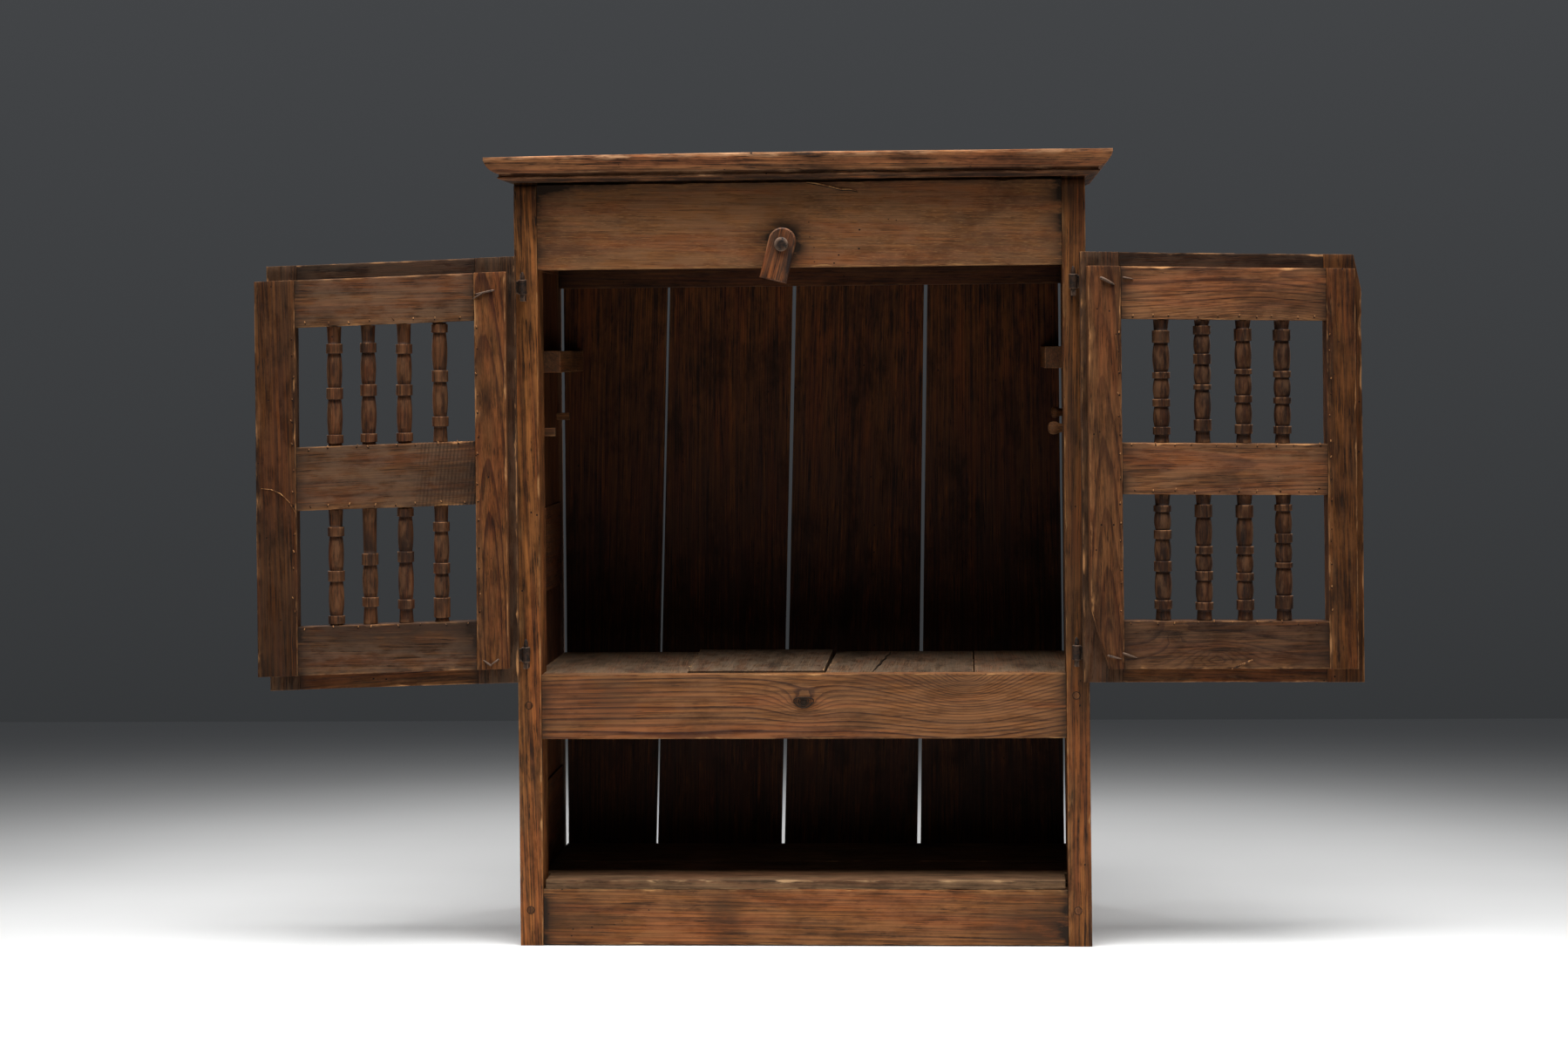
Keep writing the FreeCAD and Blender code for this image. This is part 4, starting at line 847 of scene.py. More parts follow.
def back():
    for node in ("back_top_rail", "back_middle_rail", "back_bottom_rail"):
        low, high = rail_box(node, BACK_LEFT, BACK_RIGHT)
        board(node, low, high, "x", wood_cut(node, tone=-0.3), grimy=True)
    for number, outward in enumerate(PLANK_SIDES, 1):
        node = f"back_plank_{number}"
        points = corners_of(node)
        low, high = extent(points)
        sides = [(foot.x + out * MM, top.x + out * MM / 2) for foot, top, out in
                 zip(layer(points, 2, min), layer(points, 2, max), outward)]

        def taper(local):
            return between_sides(local, low, high, 2, 1, sides)

        # The stain darkens the planks towards the bottom: painted shade.
        cut = wood_cut(node, pith=(0.04, 0.07), spacing=0.007, figure=0.7, warm=0.5, grey=0.0,
                       contrast=1.5, patina=0.8, tone=0.05, stains=(((0.4, 0), 0.85, 0.58, 1),))
        board(node, low, high, "z", cut, warp=taper)


# The left edge of the third shelf board lies this much further right at the back
SHELF_WEDGE = 5 * MM


def shelves():
    notch = POST_LEFT[1].y
    for number, tone in enumerate((-0.05, -0.3, -0.2, 0.0), 1):
        node = f"shelf_board_{number}"
        points = corners_of(node)
        low, high = extent(points)
        near = layer(points, 1, min)
        far = layer(points, 1, max)

        def warp(local):
            sides = [(start.x, end.x) for start, end in zip(near, far)]
            if number == 3:
                sides[0] = (near[0].x, far[0].x + SHELF_WEDGE)
            if number in (1, 4):
                post = 0 if number == 1 else 1
                behind = local[0] > notch + JOINT_LINE
                sides[post] = ((far if behind else near)[post].x,) * 2
            return between_sides(local, low, high, 1, 2, sides)

        shape = Shape()
        cut = wood_cut(node, pith=(0.05, 0.02), figure=0.35, grey=1.0, warm=0.1, chips=1.6,
                       tone=tone, contrast=0.8, patina=0.8)
        beam(shape, low, high, "y", cut, warp=warp, extra=(notch, notch + 2 * JOINT_LINE))
        if number == 3:
            crack = [Vector((0.108 + 0.024 * step / 8 + 0.002 * math.sin(3 * step),
                             low.y + (0.03 + 0.92 * step / 8) * (high.y - low.y), high.z))
                     for step in range(9)]
            scored(shape, crack, 2.2 * MM, cut, (0, 0, 3))
        dress(shape, node)
    for node in ("floor_board_front", "floor_board_back"):
        points = corners_of(node)
        low, high = extent(points)
        left, right = (corner.x for corner in layer(points, 1, min))

        def notched(local):
            """Between the posts the front board comes forward, and beside them it stops."""
            if abs(local[0] - (left + right) / 2) * 2 < right - left + JOINT_LINE:
                return local
            share = (high.y - local[1]) / (high.y - low.y)
            return put(local, 1, high.y - (high.y - notch) * share)

        cut = wood_cut(node, pith=(0.02, 0.12), figure=0.5, grey=0.1, warm=0.3, tone=-0.2,
                       chips=2.5)
        cuts = (left - 2 * JOINT_LINE, left, right, right + 2 * JOINT_LINE)
        notches = {"warp": notched, "extra": cuts} if node == "floor_board_front" else {}
        board(node, low, high, "x", cut, **notches)


def small_timbers():
    for node in ("board_bearers", "upper_cleats"):
        shape = Shape()
        for index, solid in enumerate(islands(node)):
            low, high = extent(solid)
            axis = "x" if high.x - low.x > high.y - low.y else "y"
            beam(shape, low, high, axis, wood_cut(f"{node}_{index}"))
        dress(shape, node)


def frame_pegs():
    """Whittled pegs, each with a dark ring where it meets the wood."""
    shape = Shape()
    for index, solid in enumerate(islands("frame_pegs")):
        low, high = extent(solid)
        middle = (low + high) / 2
        outline, rim = [], []
        for angle in around(16):
            reach = (high.x - low.x) / 2 * (1 - 0.05 * abs(math.sin(4 * angle + index)))
            x = middle.x + reach * math.cos(angle)
            z = middle.z + reach * math.sin(angle)
            outline.append((x, z))
            rim.append(Vector((middle.x + 1.12 * (x - middle.x), low.y + 1.1 * MM,
                               middle.z + 1.12 * (z - middle.z))))
        cut = wood_cut(f"frame_peg_{index}", figure=0.3, tone=-0.25)
        plate(shape, outline, low.y + 12 * MM, low.y, 0.8 * MM, cut)
        dark_ring(shape, rim, 0.7 * MM, cut, 2)
    dress(shape, "frame_pegs")


# A turned peg with a rounded head: shares of its length and of its radius
KNOB = ((0, 0.62), (0.35, 0.66), (0.5, 0.78), (0.62, 0.97), (0.75, 1), (0.88, 0.93), (0.96, 0.7),
        (1, 0.35))


def shelf_pegs():
    """Pegs for a shelf, square ones on the left and turned ones on the right."""
    shape = Shape()
    for index, solid in enumerate(islands("shelf_pegs")):
        low, high = extent(solid)
        name = f"shelf_peg_{index}"
        if low.x < (POST_LEFT[1].x + POST_RIGHT[0].x) / 2:
            low.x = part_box("side_upper_panel_left")[1].x
            beam(shape, low, high, "x", wood_cut(name, tone=-0.1), radii=(2 * MM,) * 4)
        else:
            high.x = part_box("side_upper_panel_right")[0].x
            long = high.x - low.x
            radius = (high.z - low.z) / 2
            profile = [(share * long, wide * radius, 0.4 if wide > 0.9 else 0, 0.6 * (1 - wide))
                       for share, wide in KNOB]
            lay = (Matrix.Translation((low + high) / 2)
                   @ Matrix.Rotation(math.radians(-90), 4, "Y"))
            lathe(shape, profile, Vector((0, 0, -long / 2)), wood_cut(name), lay)
    dress(shape, "shelf_pegs")


def cornice():
    """Three lengths of one moulding, mitred at the front corners, and the boards on top."""
    front = POST_LEFT[0].y
    left, right = POST_LEFT[0].x, POST_RIGHT[1].x
    low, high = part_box("cornice_front")
    bottom, top = low.z, high.z
    profile = moulding(front - low.y, top, bottom)

    def bowed(z, share):
        """The moulding has warped: its top edge lies lower at the ends, most at the left."""
        sag = (1.9 - 0.9 * share) * MM * share * share
        return z - sag * (z - bottom) / (top - bottom)

    def mitre_front(local):
        out = front - local[1]
        middle = (left + right) / 2
        half = (right - left) / 2
        share = (local[0] - middle) / half
        return Vector((middle + share * (half + out), local[1], bowed(local[2], share)))

    def length(node, hand, corners, span, axis, warp):
        """One length, whose lower part and hollow carry painted shade along its whole run."""
        cut = wood_cut(node, pith=(0.02, 0.1), spacing=0.005, figure=0.6, warm=0.3, grey=0.2,
                       chips=0.9, tone=0.75, patina=0.6, contrast=1.6,
                       stains=(((0.5, hand * -13 * MM), 1.05, 9, 19 * MM),))
        shape = Shape()
        sweep(shape, corners, span, cut, AXES[axis], warp=warp, wave=0.4 * MM,
              end_radius=0.2 * MM)
        dress(shape, node)

    length("cornice_front", -1, [(front - out, z, radius) for out, z, radius in reversed(profile)],
           (left, right), "x", mitre_front)
    for node, edge, hand in (("cornice_left", left, -1), ("cornice_right", right, 1)):
        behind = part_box(node)[1].y

        def mitre_side(local):
            out = hand * (local[2] - edge)
            share = (local[0] - front) / (behind - front)
            return Vector((behind - (1 - share) * (behind - front + out),
                           bowed(local[1], hand), local[2]))

        corners = [(z, edge + hand * out, radius) for out, z, radius in profile]
        length(node, hand, corners[::-hand], (front, behind), "y", mitre_side)
    for node in ("top_board_front", "top_board_back"):
        board(node, *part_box(node), "x", wood_cut(node, grey=0.7, tone=-0.1))


def moulding(overhang, top, bottom):
    """The cornice's section, as distance out of the case, height and radius."""
    rounded = []
    for step in range(1, 6):
        share = step / 6
        out = 26 * MM + (overhang - 26 * MM) * share
        bulge = 4 * MM * math.sin(math.pi * share)
        rounded.append((out + bulge * 0.75, top - 30 * MM + 24 * MM * share - bulge * 0.66, 0))
    quirk = ((25, 39, 1), (25, 35.5, 0.8), (23, 35.5, 0.5), (23, 30, 0.5), (26, 30, 0.8))
    return [
        (0, bottom, 0.3 * MM), (3 * MM, bottom, 0.8 * MM),
        *((out * MM, top - drop * MM, radius * MM) for out, drop, radius in quirk),
        *rounded,
        (overhang, top - 6 * MM, 1 * MM), (overhang, top, 2 * MM), (0, top, 0.3 * MM),
    ]


# The doors

# How far each door stands open in the photo, in degrees about its pin
OPEN_ANGLE = {"left": -180, "right": 188}


def door_frame(side):
    """Where a closed door's own axes stand at rest, and how it hangs out of square."""
    pin = joint_place(side + "_door_hinge")
    pin.z = 0
    angle = math.radians(OPEN_ANGLE[side])
    placed = Matrix.Translation(pin) @ Matrix.Rotation(angle, 4, "Z")
    points = corners_of(side + "_door_hinge_stile", placed.inverted())
    near, far = (max(point.z for point in layer_points(points, 0, pick)) for pick in (min, max))
    low, high = extent(points)
    shear = Matrix.Identity(4)
    shear[2][0] = (far - near) / (high.x - low.x)
    return placed @ shear


OUTER_THICKNESS = 14 * MM
# How far down the right meeting stile's outer lip has been knocked off
LIP_CHIP = 62 * MM
# The saw marks on the left middle rail
SAWN_LENGTH = 115 * MM
SAW_PITCH = 6.6 * MM
SAW_DEPTH = 0.9 * MM
# The doors' outer layers, and those of them that look warmer
OUTER_LOOK = {"tone": -0.7, "grey": 0.4, "warm": 0.2, "figure": 0.3, "contrast": 1.3}
LOWER_LOOK = {"tone": -0.5, "grey": 0.15, "warm": 0.9, "figure": 0.4, "contrast": 1.3}
# A wedge has broken from the right door's hinge stile, at the foot of its inner layer
WEDGE_HEIGHT = 105 * MM
WEDGE_WIDTH = 32 * MM
# The scratch on the left meeting stile, and the scar on the right bottom rail above its foot
SCRATCH = ((0.462, 0.828), (0.445, 0.826), (0.428, 0.818), (0.413, 0.803), (0.401, 0.782))
SCAR = [(-0.304 + 0.037 * step / 4, 0.016 * (4 - step) / 4) for step in range(5)]

# How the inner layer of each door timber is cut and coloured
TIMBER_LOOKS = {
    "left": {
        "hinge_stile": {"pith": (0.005, 0.03), "tilt": (0.02, 0.075), "spacing": 0.0085,
                        "figure": 0.95, "tone": -0.25, "warm": 0.7, "grey": 0.1, "patina": 0.6},
        "meeting_stile": {"pith": (0.01, 0.04), "spacing": 0.0045, "figure": 0.5, "tone": -0.62,
                          "warm": 1.0, "contrast": 1.5, "patina": 0.7,
                          "stains": (((0.05, 0), 0.5, 0.14, 1),)},
        "top_rail": {"pith": (0.12, 0.05), "spacing": 0.005, "figure": 0.4, "tone": -0.25,
                     "warm": 0.1, "grey": 0.7, "contrast": 1.1},
        "middle_rail": {"pith": (0.1, 0.0), "spacing": 0.006, "figure": 0.4, "tone": -0.34,
                        "warm": 0.0, "grey": 0.7},
        "bottom_rail": {"pith": (0.15, 0.02), "spacing": 0.005, "figure": 0.5, "tone": -0.42,
                        "warm": 0.0, "grey": 0.7, "contrast": 1.3,
                        "stains": (((0.1, 0.03), 0.7, 0.3, 0.03),)},
    },
    "right": {
        "hinge_stile": {"pith": (0.0, 0.05), "tilt": (0.01, 0.045), "spacing": 0.0052,
                        "figure": 0.85, "tone": -0.28, "warm": 0.4, "grey": 0.1, "patina": 0.6},
        "meeting_stile": {"pith": (0.01, 0.05), "spacing": 0.005, "figure": 0.5, "tone": -0.53,
                          "warm": 1.0, "contrast": 1.5, "patina": 0.7},
        "top_rail": {"pith": (0.06, 0.03), "spacing": 0.0045, "figure": 0.85, "tone": 0.32,
                     "warm": 0.1, "grey": 0.4, "swirls": (((0.12, -0.05), 9.0, 0.12, 0.05),)},
        "middle_rail": {"pith": (0.09, 0.0), "spacing": 0.0042, "figure": 0.8, "tone": 0.15,
                        "warm": 0.1, "grey": 0.5, "swirls": (((0.1, -0.06), 5.0, 0.2, 0.05),)},
        "bottom_rail": {"pith": (0.08, 0.02), "spacing": 0.0048, "figure": 0.8, "tone": -0.5,
                        "warm": 0.0, "grey": 0.3, "contrast": 1.2,
                        "swirls": (((0.2, -0.02), 9.0, 0.05, 0.02),
                                   ((0.275, 0.012), 5.0, 0.012, 0.01))},
    },
}


def saw_marks(along, place):
    """How deep the saw cut the left door's middle rail, on the half towards the hinge stile."""
    if along > SAWN_LENGTH:
        return 0.0
    lean = along + 0.12 * place.y
    wave = 0.5 - 0.5 * math.cos(2 * math.pi * lean / SAW_PITCH)
    fade = min(1.0, (SAWN_LENGTH - along) / 0.03)
    return SAW_DEPTH * wave * wave * fade * (0.6 + 0.4 * noise.noise(Vector((along * 60, 3, 1))))


# How far apart the tacks are, and how far from the window's edge
TACK_PITCH = 36 * MM
TACK_INSET = 5 * MM


def tacks(shape, name, placed, cut, start, end):
    """A row of tack holes beside a window, each with torn pale wood."""
    chance = random.Random(name)
    way = end - start
    count = int(way.length / TACK_PITCH)
    for index in range(count):
        share = (index + 0.5 + chance.uniform(-0.25, 0.25)) / count
        spot = start + way * share + Vector((chance.uniform(-1, 1), 0, chance.uniform(-2, 2))) * MM
        radius = chance.uniform(1.0, 1.8) * MM
        profile = ((-0.3 * MM, radius), (0.1 * MM, radius), (0.2 * MM, 0.6 * radius))
        pit(shape, spot, profile, cut, placed, sides=8, wobble=0.2 * MM)
        lean = chance.uniform(-0.6, 0.6)
        reach = chance.uniform(2, 5) * MM
        torn = [spot + Vector((math.sin(lean), 0, math.cos(lean))) * reach * (step / 3 + 0.3)
                for step in range(4)]
        scored(shape, torn, 1.1 * MM, cut, (1.6, 0, 0), placed)


def outer_look(side, part):
    """The outer layer is dark, and warmer where its edge looks warm in the photo."""
    if part == "bottom_rail" or (side, part) == ("right", "meeting_stile"):
        return LOWER_LOOK
    return {**OUTER_LOOK, "tone": -0.8} if part == "top_rail" else OUTER_LOOK


def door(side):
    """A door in its own closed axes: timbers of two layers, then spindles and straps."""
    placed = door_frame(side)
    boxes = {}
    for part in TIMBER_LOOKS[side]:
        points = corners_of(f"{side}_door_{part}", placed.inverted())
        boxes[part] = (layer(points, 1, min), layer(points, 1, max))
    stiles = sorted((boxes[part][1] for part in ("hinge_stile", "meeting_stile")),
                    key=lambda box: box[0].x)
    window = (stiles[0][1].x, stiles[1][0].x)
    outer_y, inner_y = (box[0].y for box in boxes["top_rail"])
    depths = (outer_y, outer_y + OUTER_THICKNESS, inner_y)
    foot = boxes["bottom_rail"][1][1].z
    head = boxes["top_rail"][1][0].z
    for part, look in TIMBER_LOOKS[side].items():
        node = f"{side}_door_{part}"
        outer, inner = boxes[part]
        stile = part.endswith("stile")
        across = 0 if stile else 2
        flush_low, flush_high = (abs(one[across] - other[across]) < MM
                                 for one, other in zip(outer, inner))
        left, right = window[0] + JOINT_LINE, window[1] - JOINT_LINE
        layers = []
        for box, front, behind in zip((outer, inner), depths, depths[1:]):
            ends = (box[0].x, box[1].x) if stile else (left, right)
            layers.append((Vector((ends[0], front, box[0].z)),
                           Vector((ends[1], behind, box[1].z))))
        cut = wood_cut(node, chips=1.5, **look)
        # The outer layer's edges chip and pale more: wear, and also a painted highlight along its top arrises.
        outside = wood_cut(node + "_outside", chips=2.0, **outer_look(side, part))
        how_outer, how_inner = {"grimy": not stile}, {"grimy": not stile}
        if stile:
            axis = "z"
            radii = (EDGE_RADIUS, EDGE_RADIUS, 0 if flush_high else EDGE_RADIUS,
                     0 if flush_low else EDGE_RADIUS)
            inner_radii = (0, 0, EDGE_RADIUS, EDGE_RADIUS)
        else:
            axis = "x"
            # The rails' top edges have the wider worn radius: wear, and a painted highlight along them.
            radii = (EDGE_RADIUS, 0 if flush_low else EDGE_RADIUS,
                     0 if flush_high else WORN_RADIUS, WORN_RADIUS)
            inner_radii = (0, EDGE_RADIUS, WORN_RADIUS if part == "top_rail" else EDGE_RADIUS, 0)
        (low, high), (inner_low, inner_high) = layers
        if (side, part) == ("right", "meeting_stile"):
            low.x = extent(corners_of(node, placed.inverted()))[0].x

            def chipped(local):
                gone = max(0, 1 - (high.z - local[0]) / LIP_CHIP)
                lip = inner_low.x - low.x
                reach = max(0, inner_low.x - local[1]) / max(lip, MM)
                return put(local, 1, local[1] + gone * 0.9 * reach * lip)

            how_outer["warp"] = chipped
        if (side, part) == ("right", "hinge_stile"):

            def broken(local):
                gone = max(0, 1 - (local[0] - inner_low.z) / WEDGE_HEIGHT) * WEDGE_WIDTH
                return put(local, 1, min(local[1], inner_high.x - gone))

            how_inner["warp"] = broken
        if (side, part) == ("left", "middle_rail"):
            how_inner.update(ripple=saw_marks, step=SAW_PITCH / 5)
        shape = Shape()
        beam(shape, low, high, axis, outside, placed, radii, **how_outer)
        beam(shape, inner_low, inner_high, axis, cut, placed, inner_radii, **how_inner)
        marks = {("left", "meeting_stile"): (0.8 * MM, SCRATCH),
                 ("right", "bottom_rail"): (2.4 * MM, [(x, inner_low.z + z) for x, z in SCAR])}
        if (side, part) in marks:
            radius, run = marks[side, part]
            line = [Vector((x, inner_y, z)) for x, z in run]
            scored(shape, line, radius, cut, (1.5, 0, 0), placed)
        if stile:
            beside = abs(inner_high.x - window[0]) < MM
            x = window[0] - TACK_INSET if beside else window[1] + TACK_INSET
            rows = {"": (Vector((x, inner_y, foot)), Vector((x, inner_y, head)))}
        else:
            levels = {"above": inner_high.z - TACK_INSET, "below": inner_low.z + TACK_INSET}
            levels.pop({"top_rail": "above", "bottom_rail": "below"}.get(part), None)
            rows = {edge: (Vector((left, inner_y, z)), Vector((right, inner_y, z)))
                    for edge, z in levels.items()}
        for edge, (start, end) in rows.items():
            tacks(shape, node + edge, placed, cut, start, end)
        dress(shape, node)
    for part in ("upper", "lower"):
        spindles(side, f"{side}_door_{part}_spindles")
    straps(side, placed, inner_y)


SPINDLE_TONES = {"left": {"tone": -0.5, "warm": 0.3}, "right": {"tone": -0.76, "warm": 0.8}}


def spindles(side, node):
    shape = Shape()
    for index, solid in enumerate(islands(node)):
        low, high = extent(solid)
        middle = (low + high) / 2
        middle.z = 0
        cut = wood_cut(f"{node}_{index}", pith=(0.02, 0.01), figure=0.35, spacing=0.003,
                       grey=0.0, contrast=1.3, patina=0.7, **SPINDLE_TONES[side])
        profile = worn_profile(turned_profile(solid, middle))
        lathe(shape, profile, middle, cut, sides=36, wobble=0.35 * MM)
    dress(shape, node)


def turned_profile(solid, middle):
    """The heights and radii of a turned solid, from the bottom up."""
    levels = {}
    for point in solid:
        radius = round(math.hypot(point.x - middle.x, point.y - middle.y), 5)
        levels.setdefault(round(point.z, 5), set()).add(radius)
    profile = []
    for height in sorted(levels):
        radii = sorted(levels[height])
        chosen = [radii[0], radii[-1]] if radii[-1] - radii[0] > 0.4 * MM else [radii[-1]]
        if profile and len(chosen) > 1:
            last = profile[-1][1]
            chosen.sort(key=lambda radius: abs(radius - last))
        profile += [(height, radius) for radius in chosen]
    return profile


def worn_profile(profile):
    """Wear the collars' rims, with a painted highlight on the upper rims and the bulges, darken the hollows beside
    them, and add points between far ones.
    """
    soft = 0.4 * MM
    widest = max(radius for _, radius in profile)

    def hollow(radius):
        return max(0.0, 1 - (radius / widest - 0.6) / 0.25) * 0.6

    worn = []
    for index, (height, radius) in enumerate(profile):
        before = profile[max(index - 1, 0)]
        after = profile[min(index + 1, len(profile) - 1)]
        above = radius > after[1] + MM
        below = radius > before[1] + MM
        inside = 0 < index < len(profile) - 1
        if inside and (above or below):
            # Upper rims are paler than lower ones: wear, and a painted highlight from above.
            rim, way = (1.2, -1) if above else (0.35, 1)
            outer = height + way * soft
            collar = [(height, radius - soft, rim, 0.2), (outer, radius, rim, 0),
                      (outer + way * soft, radius, 0.3, 0)]
            worn += collar[::way]
        else:
            deep = 0.9 if inside and max(before[1], after[1]) > radius + MM else 0
            # The widest parts pale: wear, and a painted highlight on the bulges.
            swell_wear_and_highlight = 0.22 if radius > 0.85 * widest else 0.0
            worn.append((height, radius, swell_wear_and_highlight, max(hollow(radius), deep)))
        gap = after[0] - height
        if gap > 6 * MM:
            pieces = int(gap / (4 * MM))
            for step in range(1, pieces):
                share = step / pieces
                grown = radius + (after[1] - radius) * share
                swell_wear_and_highlight = 0.15 if grown > 0.9 * widest else 0.0
                worn.append((height + gap * share, grown, swell_wear_and_highlight, hollow(grown)))
    return worn


EYE_HOLE = 4.2 * MM
# Between the upper and the lower hinges
MIDDLE_HEIGHT = 0.84
# Each clinched nail in mm: where it comes out and where it ends, from the pin and above the
# strap's middle, and its radius
CLINCHED = {
    "left_upper": ((46, -4, 81, -10, 2.0), (62, -6, 84, -18, 1.8)),
    "left_lower": ((44, -4, 59, -14, 1.9), (57, -14, 71, -4, 1.9)),
    "right_upper": ((43, 6, 67, -6, 3.2), (82, 7, 100, 4, 1.7)),
    "right_lower": ((49, -2, 73, -8, 2.2), (76, 2, 100, -6, 2.2)),
}


def straps(side, placed, inner_y):
    """Two strap eyes and the nails that hold them, bent over on the door's inner face."""
    node = side + "_door_hinge_straps"
    hand = 1 if side == "left" else -1
    shape = Shape()
    cut = wood_cut(node)
    for solid in islands(node):
        points = [placed.inverted() @ point for point in solid]
        low, high = extent(points)
        if high.z - low.z > 15 * MM and high.y - low.y < 20 * MM:
            height = (low.z + high.z) / 2
            eye, far = (-low.x, high.x) if hand > 0 else (high.x, low.x)
            half = [(0, EYE_HOLE, 0), (0, eye - 1 * MM, 0.2), (0.8 * MM, eye, 0.4),
                    (2 * MM, eye, 0)]
            profile = [(low.z + inset, radius, worn, 0) for inset, radius, worn in half]
            profile += [(high.z - inset, radius, worn, 0) for inset, radius, worn in half[::-1]]
            lathe(shape, profile, ORIGIN, cut, placed, wobble=0.4 * MM)
            start, end = sorted((hand * (eye - 2 * MM), far))

            def taper(local):
                share = abs(local[0]) / abs(far)
                return put(local, 2, height + (local[2] - height) * (1.1 - 0.3 * share))

            beam(shape, Vector((start, -1.4 * MM, height - 11 * MM)),
                 Vector((end, 1.4 * MM, height + 11 * MM)), "x", cut, placed, (0.6 * MM,) * 4,
                 warp=taper, wave=0.5 * MM)
            for near, rise, reach, fall, radius in CLINCHED[
                    f"{side}_upper" if height > MIDDLE_HEIGHT else f"{side}_lower"]:
                clinch(shape, Vector((hand * near * MM, inner_y, height + rise * MM)),
                       Vector((hand * reach * MM, inner_y, height + fall * MM)), radius * MM,
                       placed, cut)
        else:
            low, high = layer(points, 1, min)
            radius = (high.x - low.x) / 2
            head = [(low + high) / 2 + Vector((0, away * MM, 0)) for away in (0, 0.6, 1.6)]
            tube(shape, head, (radius * 0.55, radius * 0.95, radius), cut, placed)
    dress(shape, node)


def clinch(shape, first, last, radius, placed, cut):
    """A nail's point, bent over and hammered flat along the wood."""
    rises = ((0, -1.5, 0.9), (0.06, 0.9, 1.0), (0.3, 1.4, 1.0), (0.6, 1.1, 0.85), (0.85, 0.6, 0.6),
             (1, 0.1, 0.25))
    path = [first.lerp(last, share) + Vector((0, rise * MM, 0)) for share, rise, _ in rises]
    radii = [radius * thick for _, _, thick in rises]
    tube(shape, path, radii, cut, placed, flatten=0.9, wear=(0.4, 0, 0))


# Irons and the latch

# The turn button hangs askew
BUTTON_TILT = math.radians(14)
BUTTON_THICKNESS = 16 * MM
BOLT_HEAD = 12.5 * MM
BOLT_SHANK = 4 * MM
NUT_HALF = 9 * MM


def pintles():
    shape = Shape()
    cut = wood_cut("pintles")
    for solid in islands("pintles"):
        low, high = extent(solid)
        top = low.z + 12 * MM
        beam(shape, low, Vector((high.x, POST_LEFT[0].y + 3 * MM, top)), "y", cut,
             radii=(1.2 * MM,) * 4, wave=0.5 * MM)
        tip = round(high.z, 4)
        profile = [(top - 1 * MM, 4 * MM, 0, 0), (tip - 8 * MM, 4 * MM, 0, 0),
                   (tip - 5 * MM, 3.2 * MM, 0, 0), (tip - 2 * MM, 2 * MM, 0, 0),
                   (tip, 0.9 * MM, 0, 0)]
        pin = Vector(((low.x + high.x) / 2, low.y + 4.5 * MM, 0))
        lathe(shape, profile, pin, cut, sides=16, wobble=0.2 * MM)
    dress(shape, "pintles")


def back_nails():
    shape = Shape()
    cut = wood_cut("back_nails")
    for solid in islands("back_nails"):
        low, high = extent(solid)
        radius = (high.x - low.x) / 2
        head = [Vector(((low.x + high.x) / 2, high.y - sunk * MM, (low.z + high.z) / 2))
                for sunk in (3, 1.6, 0.6, 0)]
        tube(shape, head, [radius * share for share in (0.4, 1, 0.9, 0.5)], cut, sides=12)
    dress(shape, "back_nails")


def latch():
    """The turn button, which hangs askew, and the bolt that it turns on with its nut."""
    pivot = joint_place("turn_button_pivot")
    tilt = Matrix.Translation(pivot) @ Matrix.Rotation(BUTTON_TILT, 4, "Y")
    low, high = extent(corners_of("turn_button", tilt.inverted()))
    half = (high.x - low.x) / 2
    outline = [(-half, low.z), (half, low.z)]
    for degrees in range(0, 181, 15):
        turn = math.radians(degrees)
        outline.append((half * math.cos(turn), high.z - half + half * math.sin(turn)))
    shape = Shape()
    cut = wood_cut("turn_button", pith=(0.004, 0.012), spacing=0.0056, figure=1.0, tilt=(0, 0),
                   tone=-0.48, warm=0.2, grey=0.0, contrast=2.0, patina=0.9)
    back_face = low.y + BUTTON_THICKNESS
    plate(shape, outline, back_face, low.y, 3 * MM, cut, tilt)
    boss = [(high.y, 15.5 * MM, 0, 0.5), (back_face - MM, 16 * MM, 0, 0.5)]
    lathe(shape, sorted(boss), ORIGIN, cut, tilt @ LAID_BACK, wobble=0.2 * MM)
    dress(shape, "turn_button")

    shape = Shape()
    iron = wood_cut("latch_bolt")
    low, high = extent(corners_of("latch_bolt"))
    bolt = Matrix.Translation(Vector((pivot.x, 0, pivot.z))) @ LAID_BACK
    head = [(low.y, BOLT_HEAD * 0.5, 0, 0), (low.y + 0.7 * MM, BOLT_HEAD * 0.86, 0.5, 0),
            (low.y + 2.4 * MM, BOLT_HEAD, 0.5, 0), (low.y + 5 * MM, BOLT_HEAD * 0.97, 0, 0),
            (low.y + 5.1 * MM, BOLT_SHANK, 0, 0), (high.y, BOLT_SHANK, 0, 0)]
    lathe(shape, head, ORIGIN, iron, bolt, wobble=0.35 * MM)
    nut_low = Vector((pivot.x - NUT_HALF, high.y - 9 * MM, pivot.z - NUT_HALF))
    nut_high = Vector((pivot.x + NUT_HALF, high.y - 3 * MM, pivot.z + NUT_HALF))
    beam(shape, nut_low, nut_high, "x", iron, wave=0.4 * MM)
    dress(shape, "latch_bolt")


# The stage

# The back edge of the floor is the line behind the cupboard in the photo
FLOOR_REACH = 6
FLOOR_BACK = 3.06


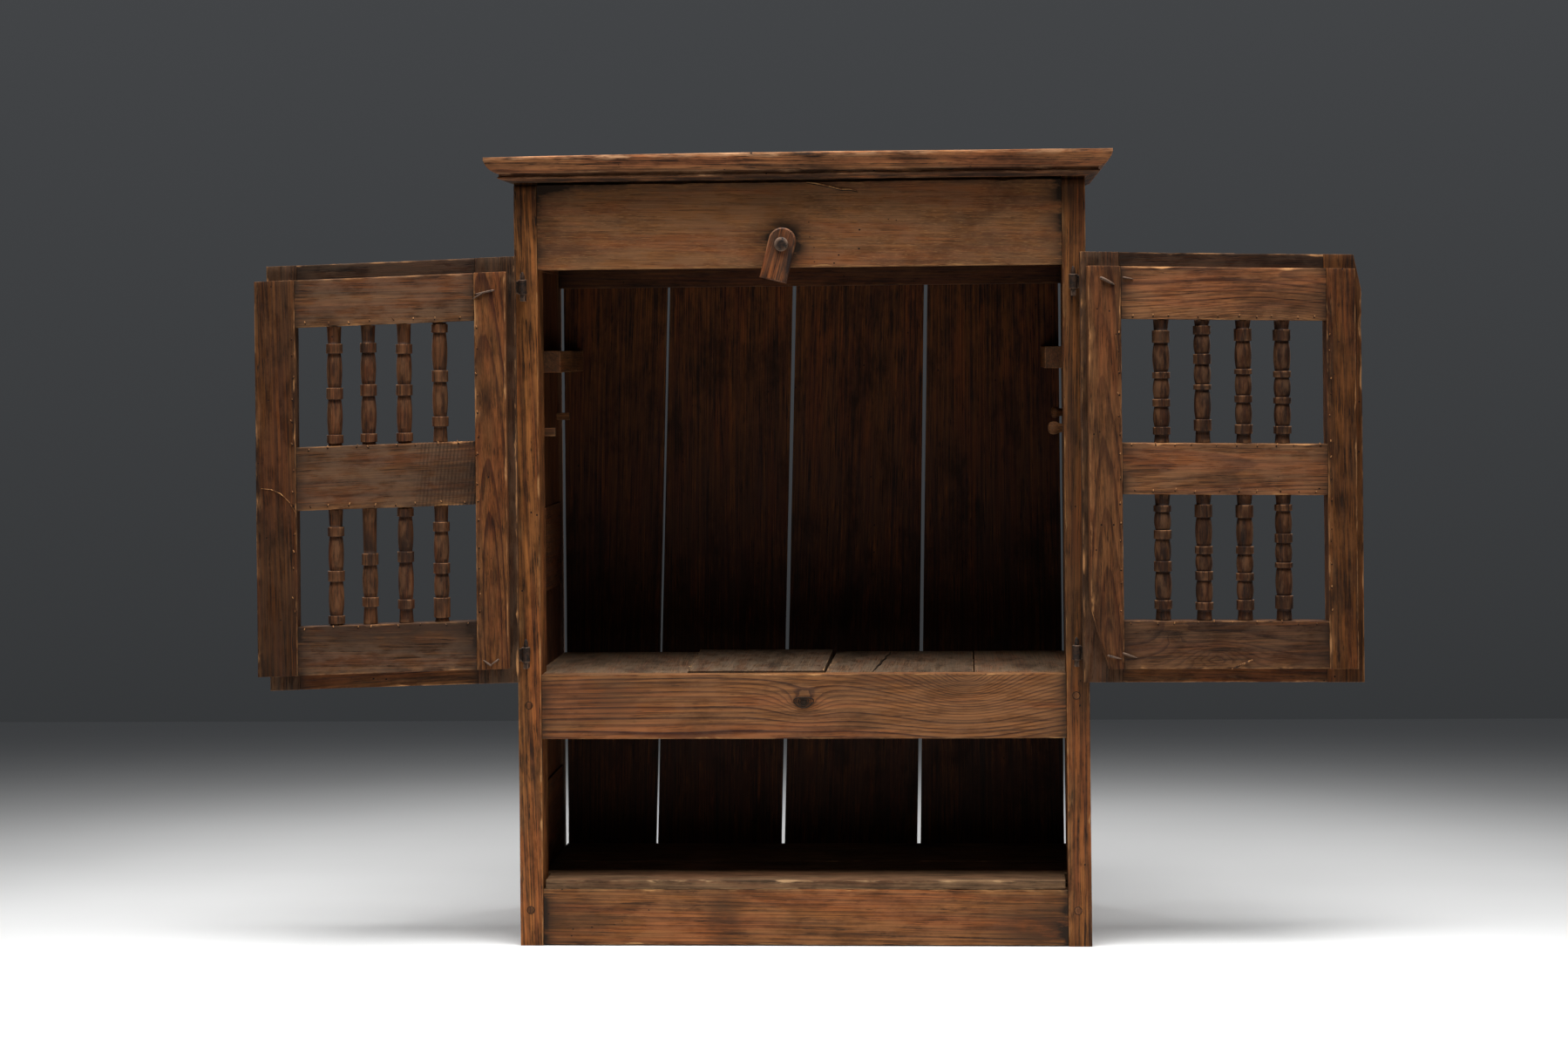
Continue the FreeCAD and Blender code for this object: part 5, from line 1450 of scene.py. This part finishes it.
def stage():
    floor_shape = Shape()
    plain = wood_cut("floor")
    for x, y in ((-FLOOR_REACH, -FLOOR_REACH), (FLOOR_REACH, -FLOOR_REACH),
                 (FLOOR_REACH, FLOOR_BACK), (-FLOOR_REACH, FLOOR_BACK)):
        floor_shape.add_point((x, y, 0), (x, y, 0), (0, 0, 0), plain)
    floor_shape.add_face((0, 1, 2, 3))
    floor = floor_shape.make("floor")
    floor.data.materials.append(floor_material())
    floor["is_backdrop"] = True
    studio()
    soft_light("top", (-0.05, -0.8, 3.2), (-0.05, -0.8, 0.0), 3.6, 1.2, 85, 95)
    for name, x in (("rim_left", -2.4), ("rim_right", 2.4)):
        soft_light(name, (x, 2.6, 1.7), (0.0, 0.24, 0.8), 0.9, 0.9, 5, 60)


def studio():
    """A dim grey room, a little paler above the horizon than below it."""
    world = bpy.data.worlds.new("studio")
    tree = Tree(world, "Background")
    way = tree.parts(tree.add("TexCoord").outputs["Generated"])
    rise = tree.add("MapRange", {"Value": way[2], "From Min": -0.14, "From Max": 0.12})
    tree.finish({"Color": tree.blend(rise.outputs[0], (0.034, 0.036, 0.038, 1),
                                     (0.056, 0.059, 0.063, 1))})
    bpy.context.scene.world = world


def soft_light(name, place, aim, width, height, power, spread):
    data = bpy.data.lights.new(name, "AREA")
    data.shape = "RECTANGLE"
    data.size = width
    data.size_y = height
    data.energy = power
    data.spread = math.radians(spread)
    light = bpy.data.objects.new(name, data)
    light.location = place
    light.rotation_euler = (Vector(aim) - Vector(place)).to_track_quat("-Z", "Y").to_euler()
    light.visible_camera = False
    bpy.context.scene.collection.objects.link(light)


def camera():
    data = bpy.data.cameras.new("camera")
    data.sensor_width = SENSOR_WIDTH
    data.lens = CAMERA_FOCAL_PIXELS / PHOTO_WIDTH * SENSOR_WIDTH
    data.shift_y = HORIZON_SHIFT_PIXELS / PHOTO_WIDTH
    viewer = bpy.data.objects.new("camera", data)
    turn = (Matrix.Rotation(CAMERA_YAW, 4, "Z") @ Matrix.Rotation(math.radians(90), 4, "X")
            @ Matrix.Rotation(CAMERA_ROLL, 4, "Z"))
    viewer.matrix_world = Matrix.Translation(Vector(CAMERA_PLACE)) @ turn
    bpy.context.scene.collection.objects.link(viewer)
    bpy.context.scene.camera = viewer


posts()
front_rails()
side_frames()
back()
shelves()
small_timbers()
frame_pegs()
shelf_pegs()
cornice()
for door_side in ("left", "right"):
    door(door_side)
pintles()
back_nails()
latch()
stage()
camera()
bpy.context.scene.view_settings.view_transform = "Standard"

visual_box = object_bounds()
sizes = [[list(corner) for corner in box] for box in (cad_box, visual_box)]
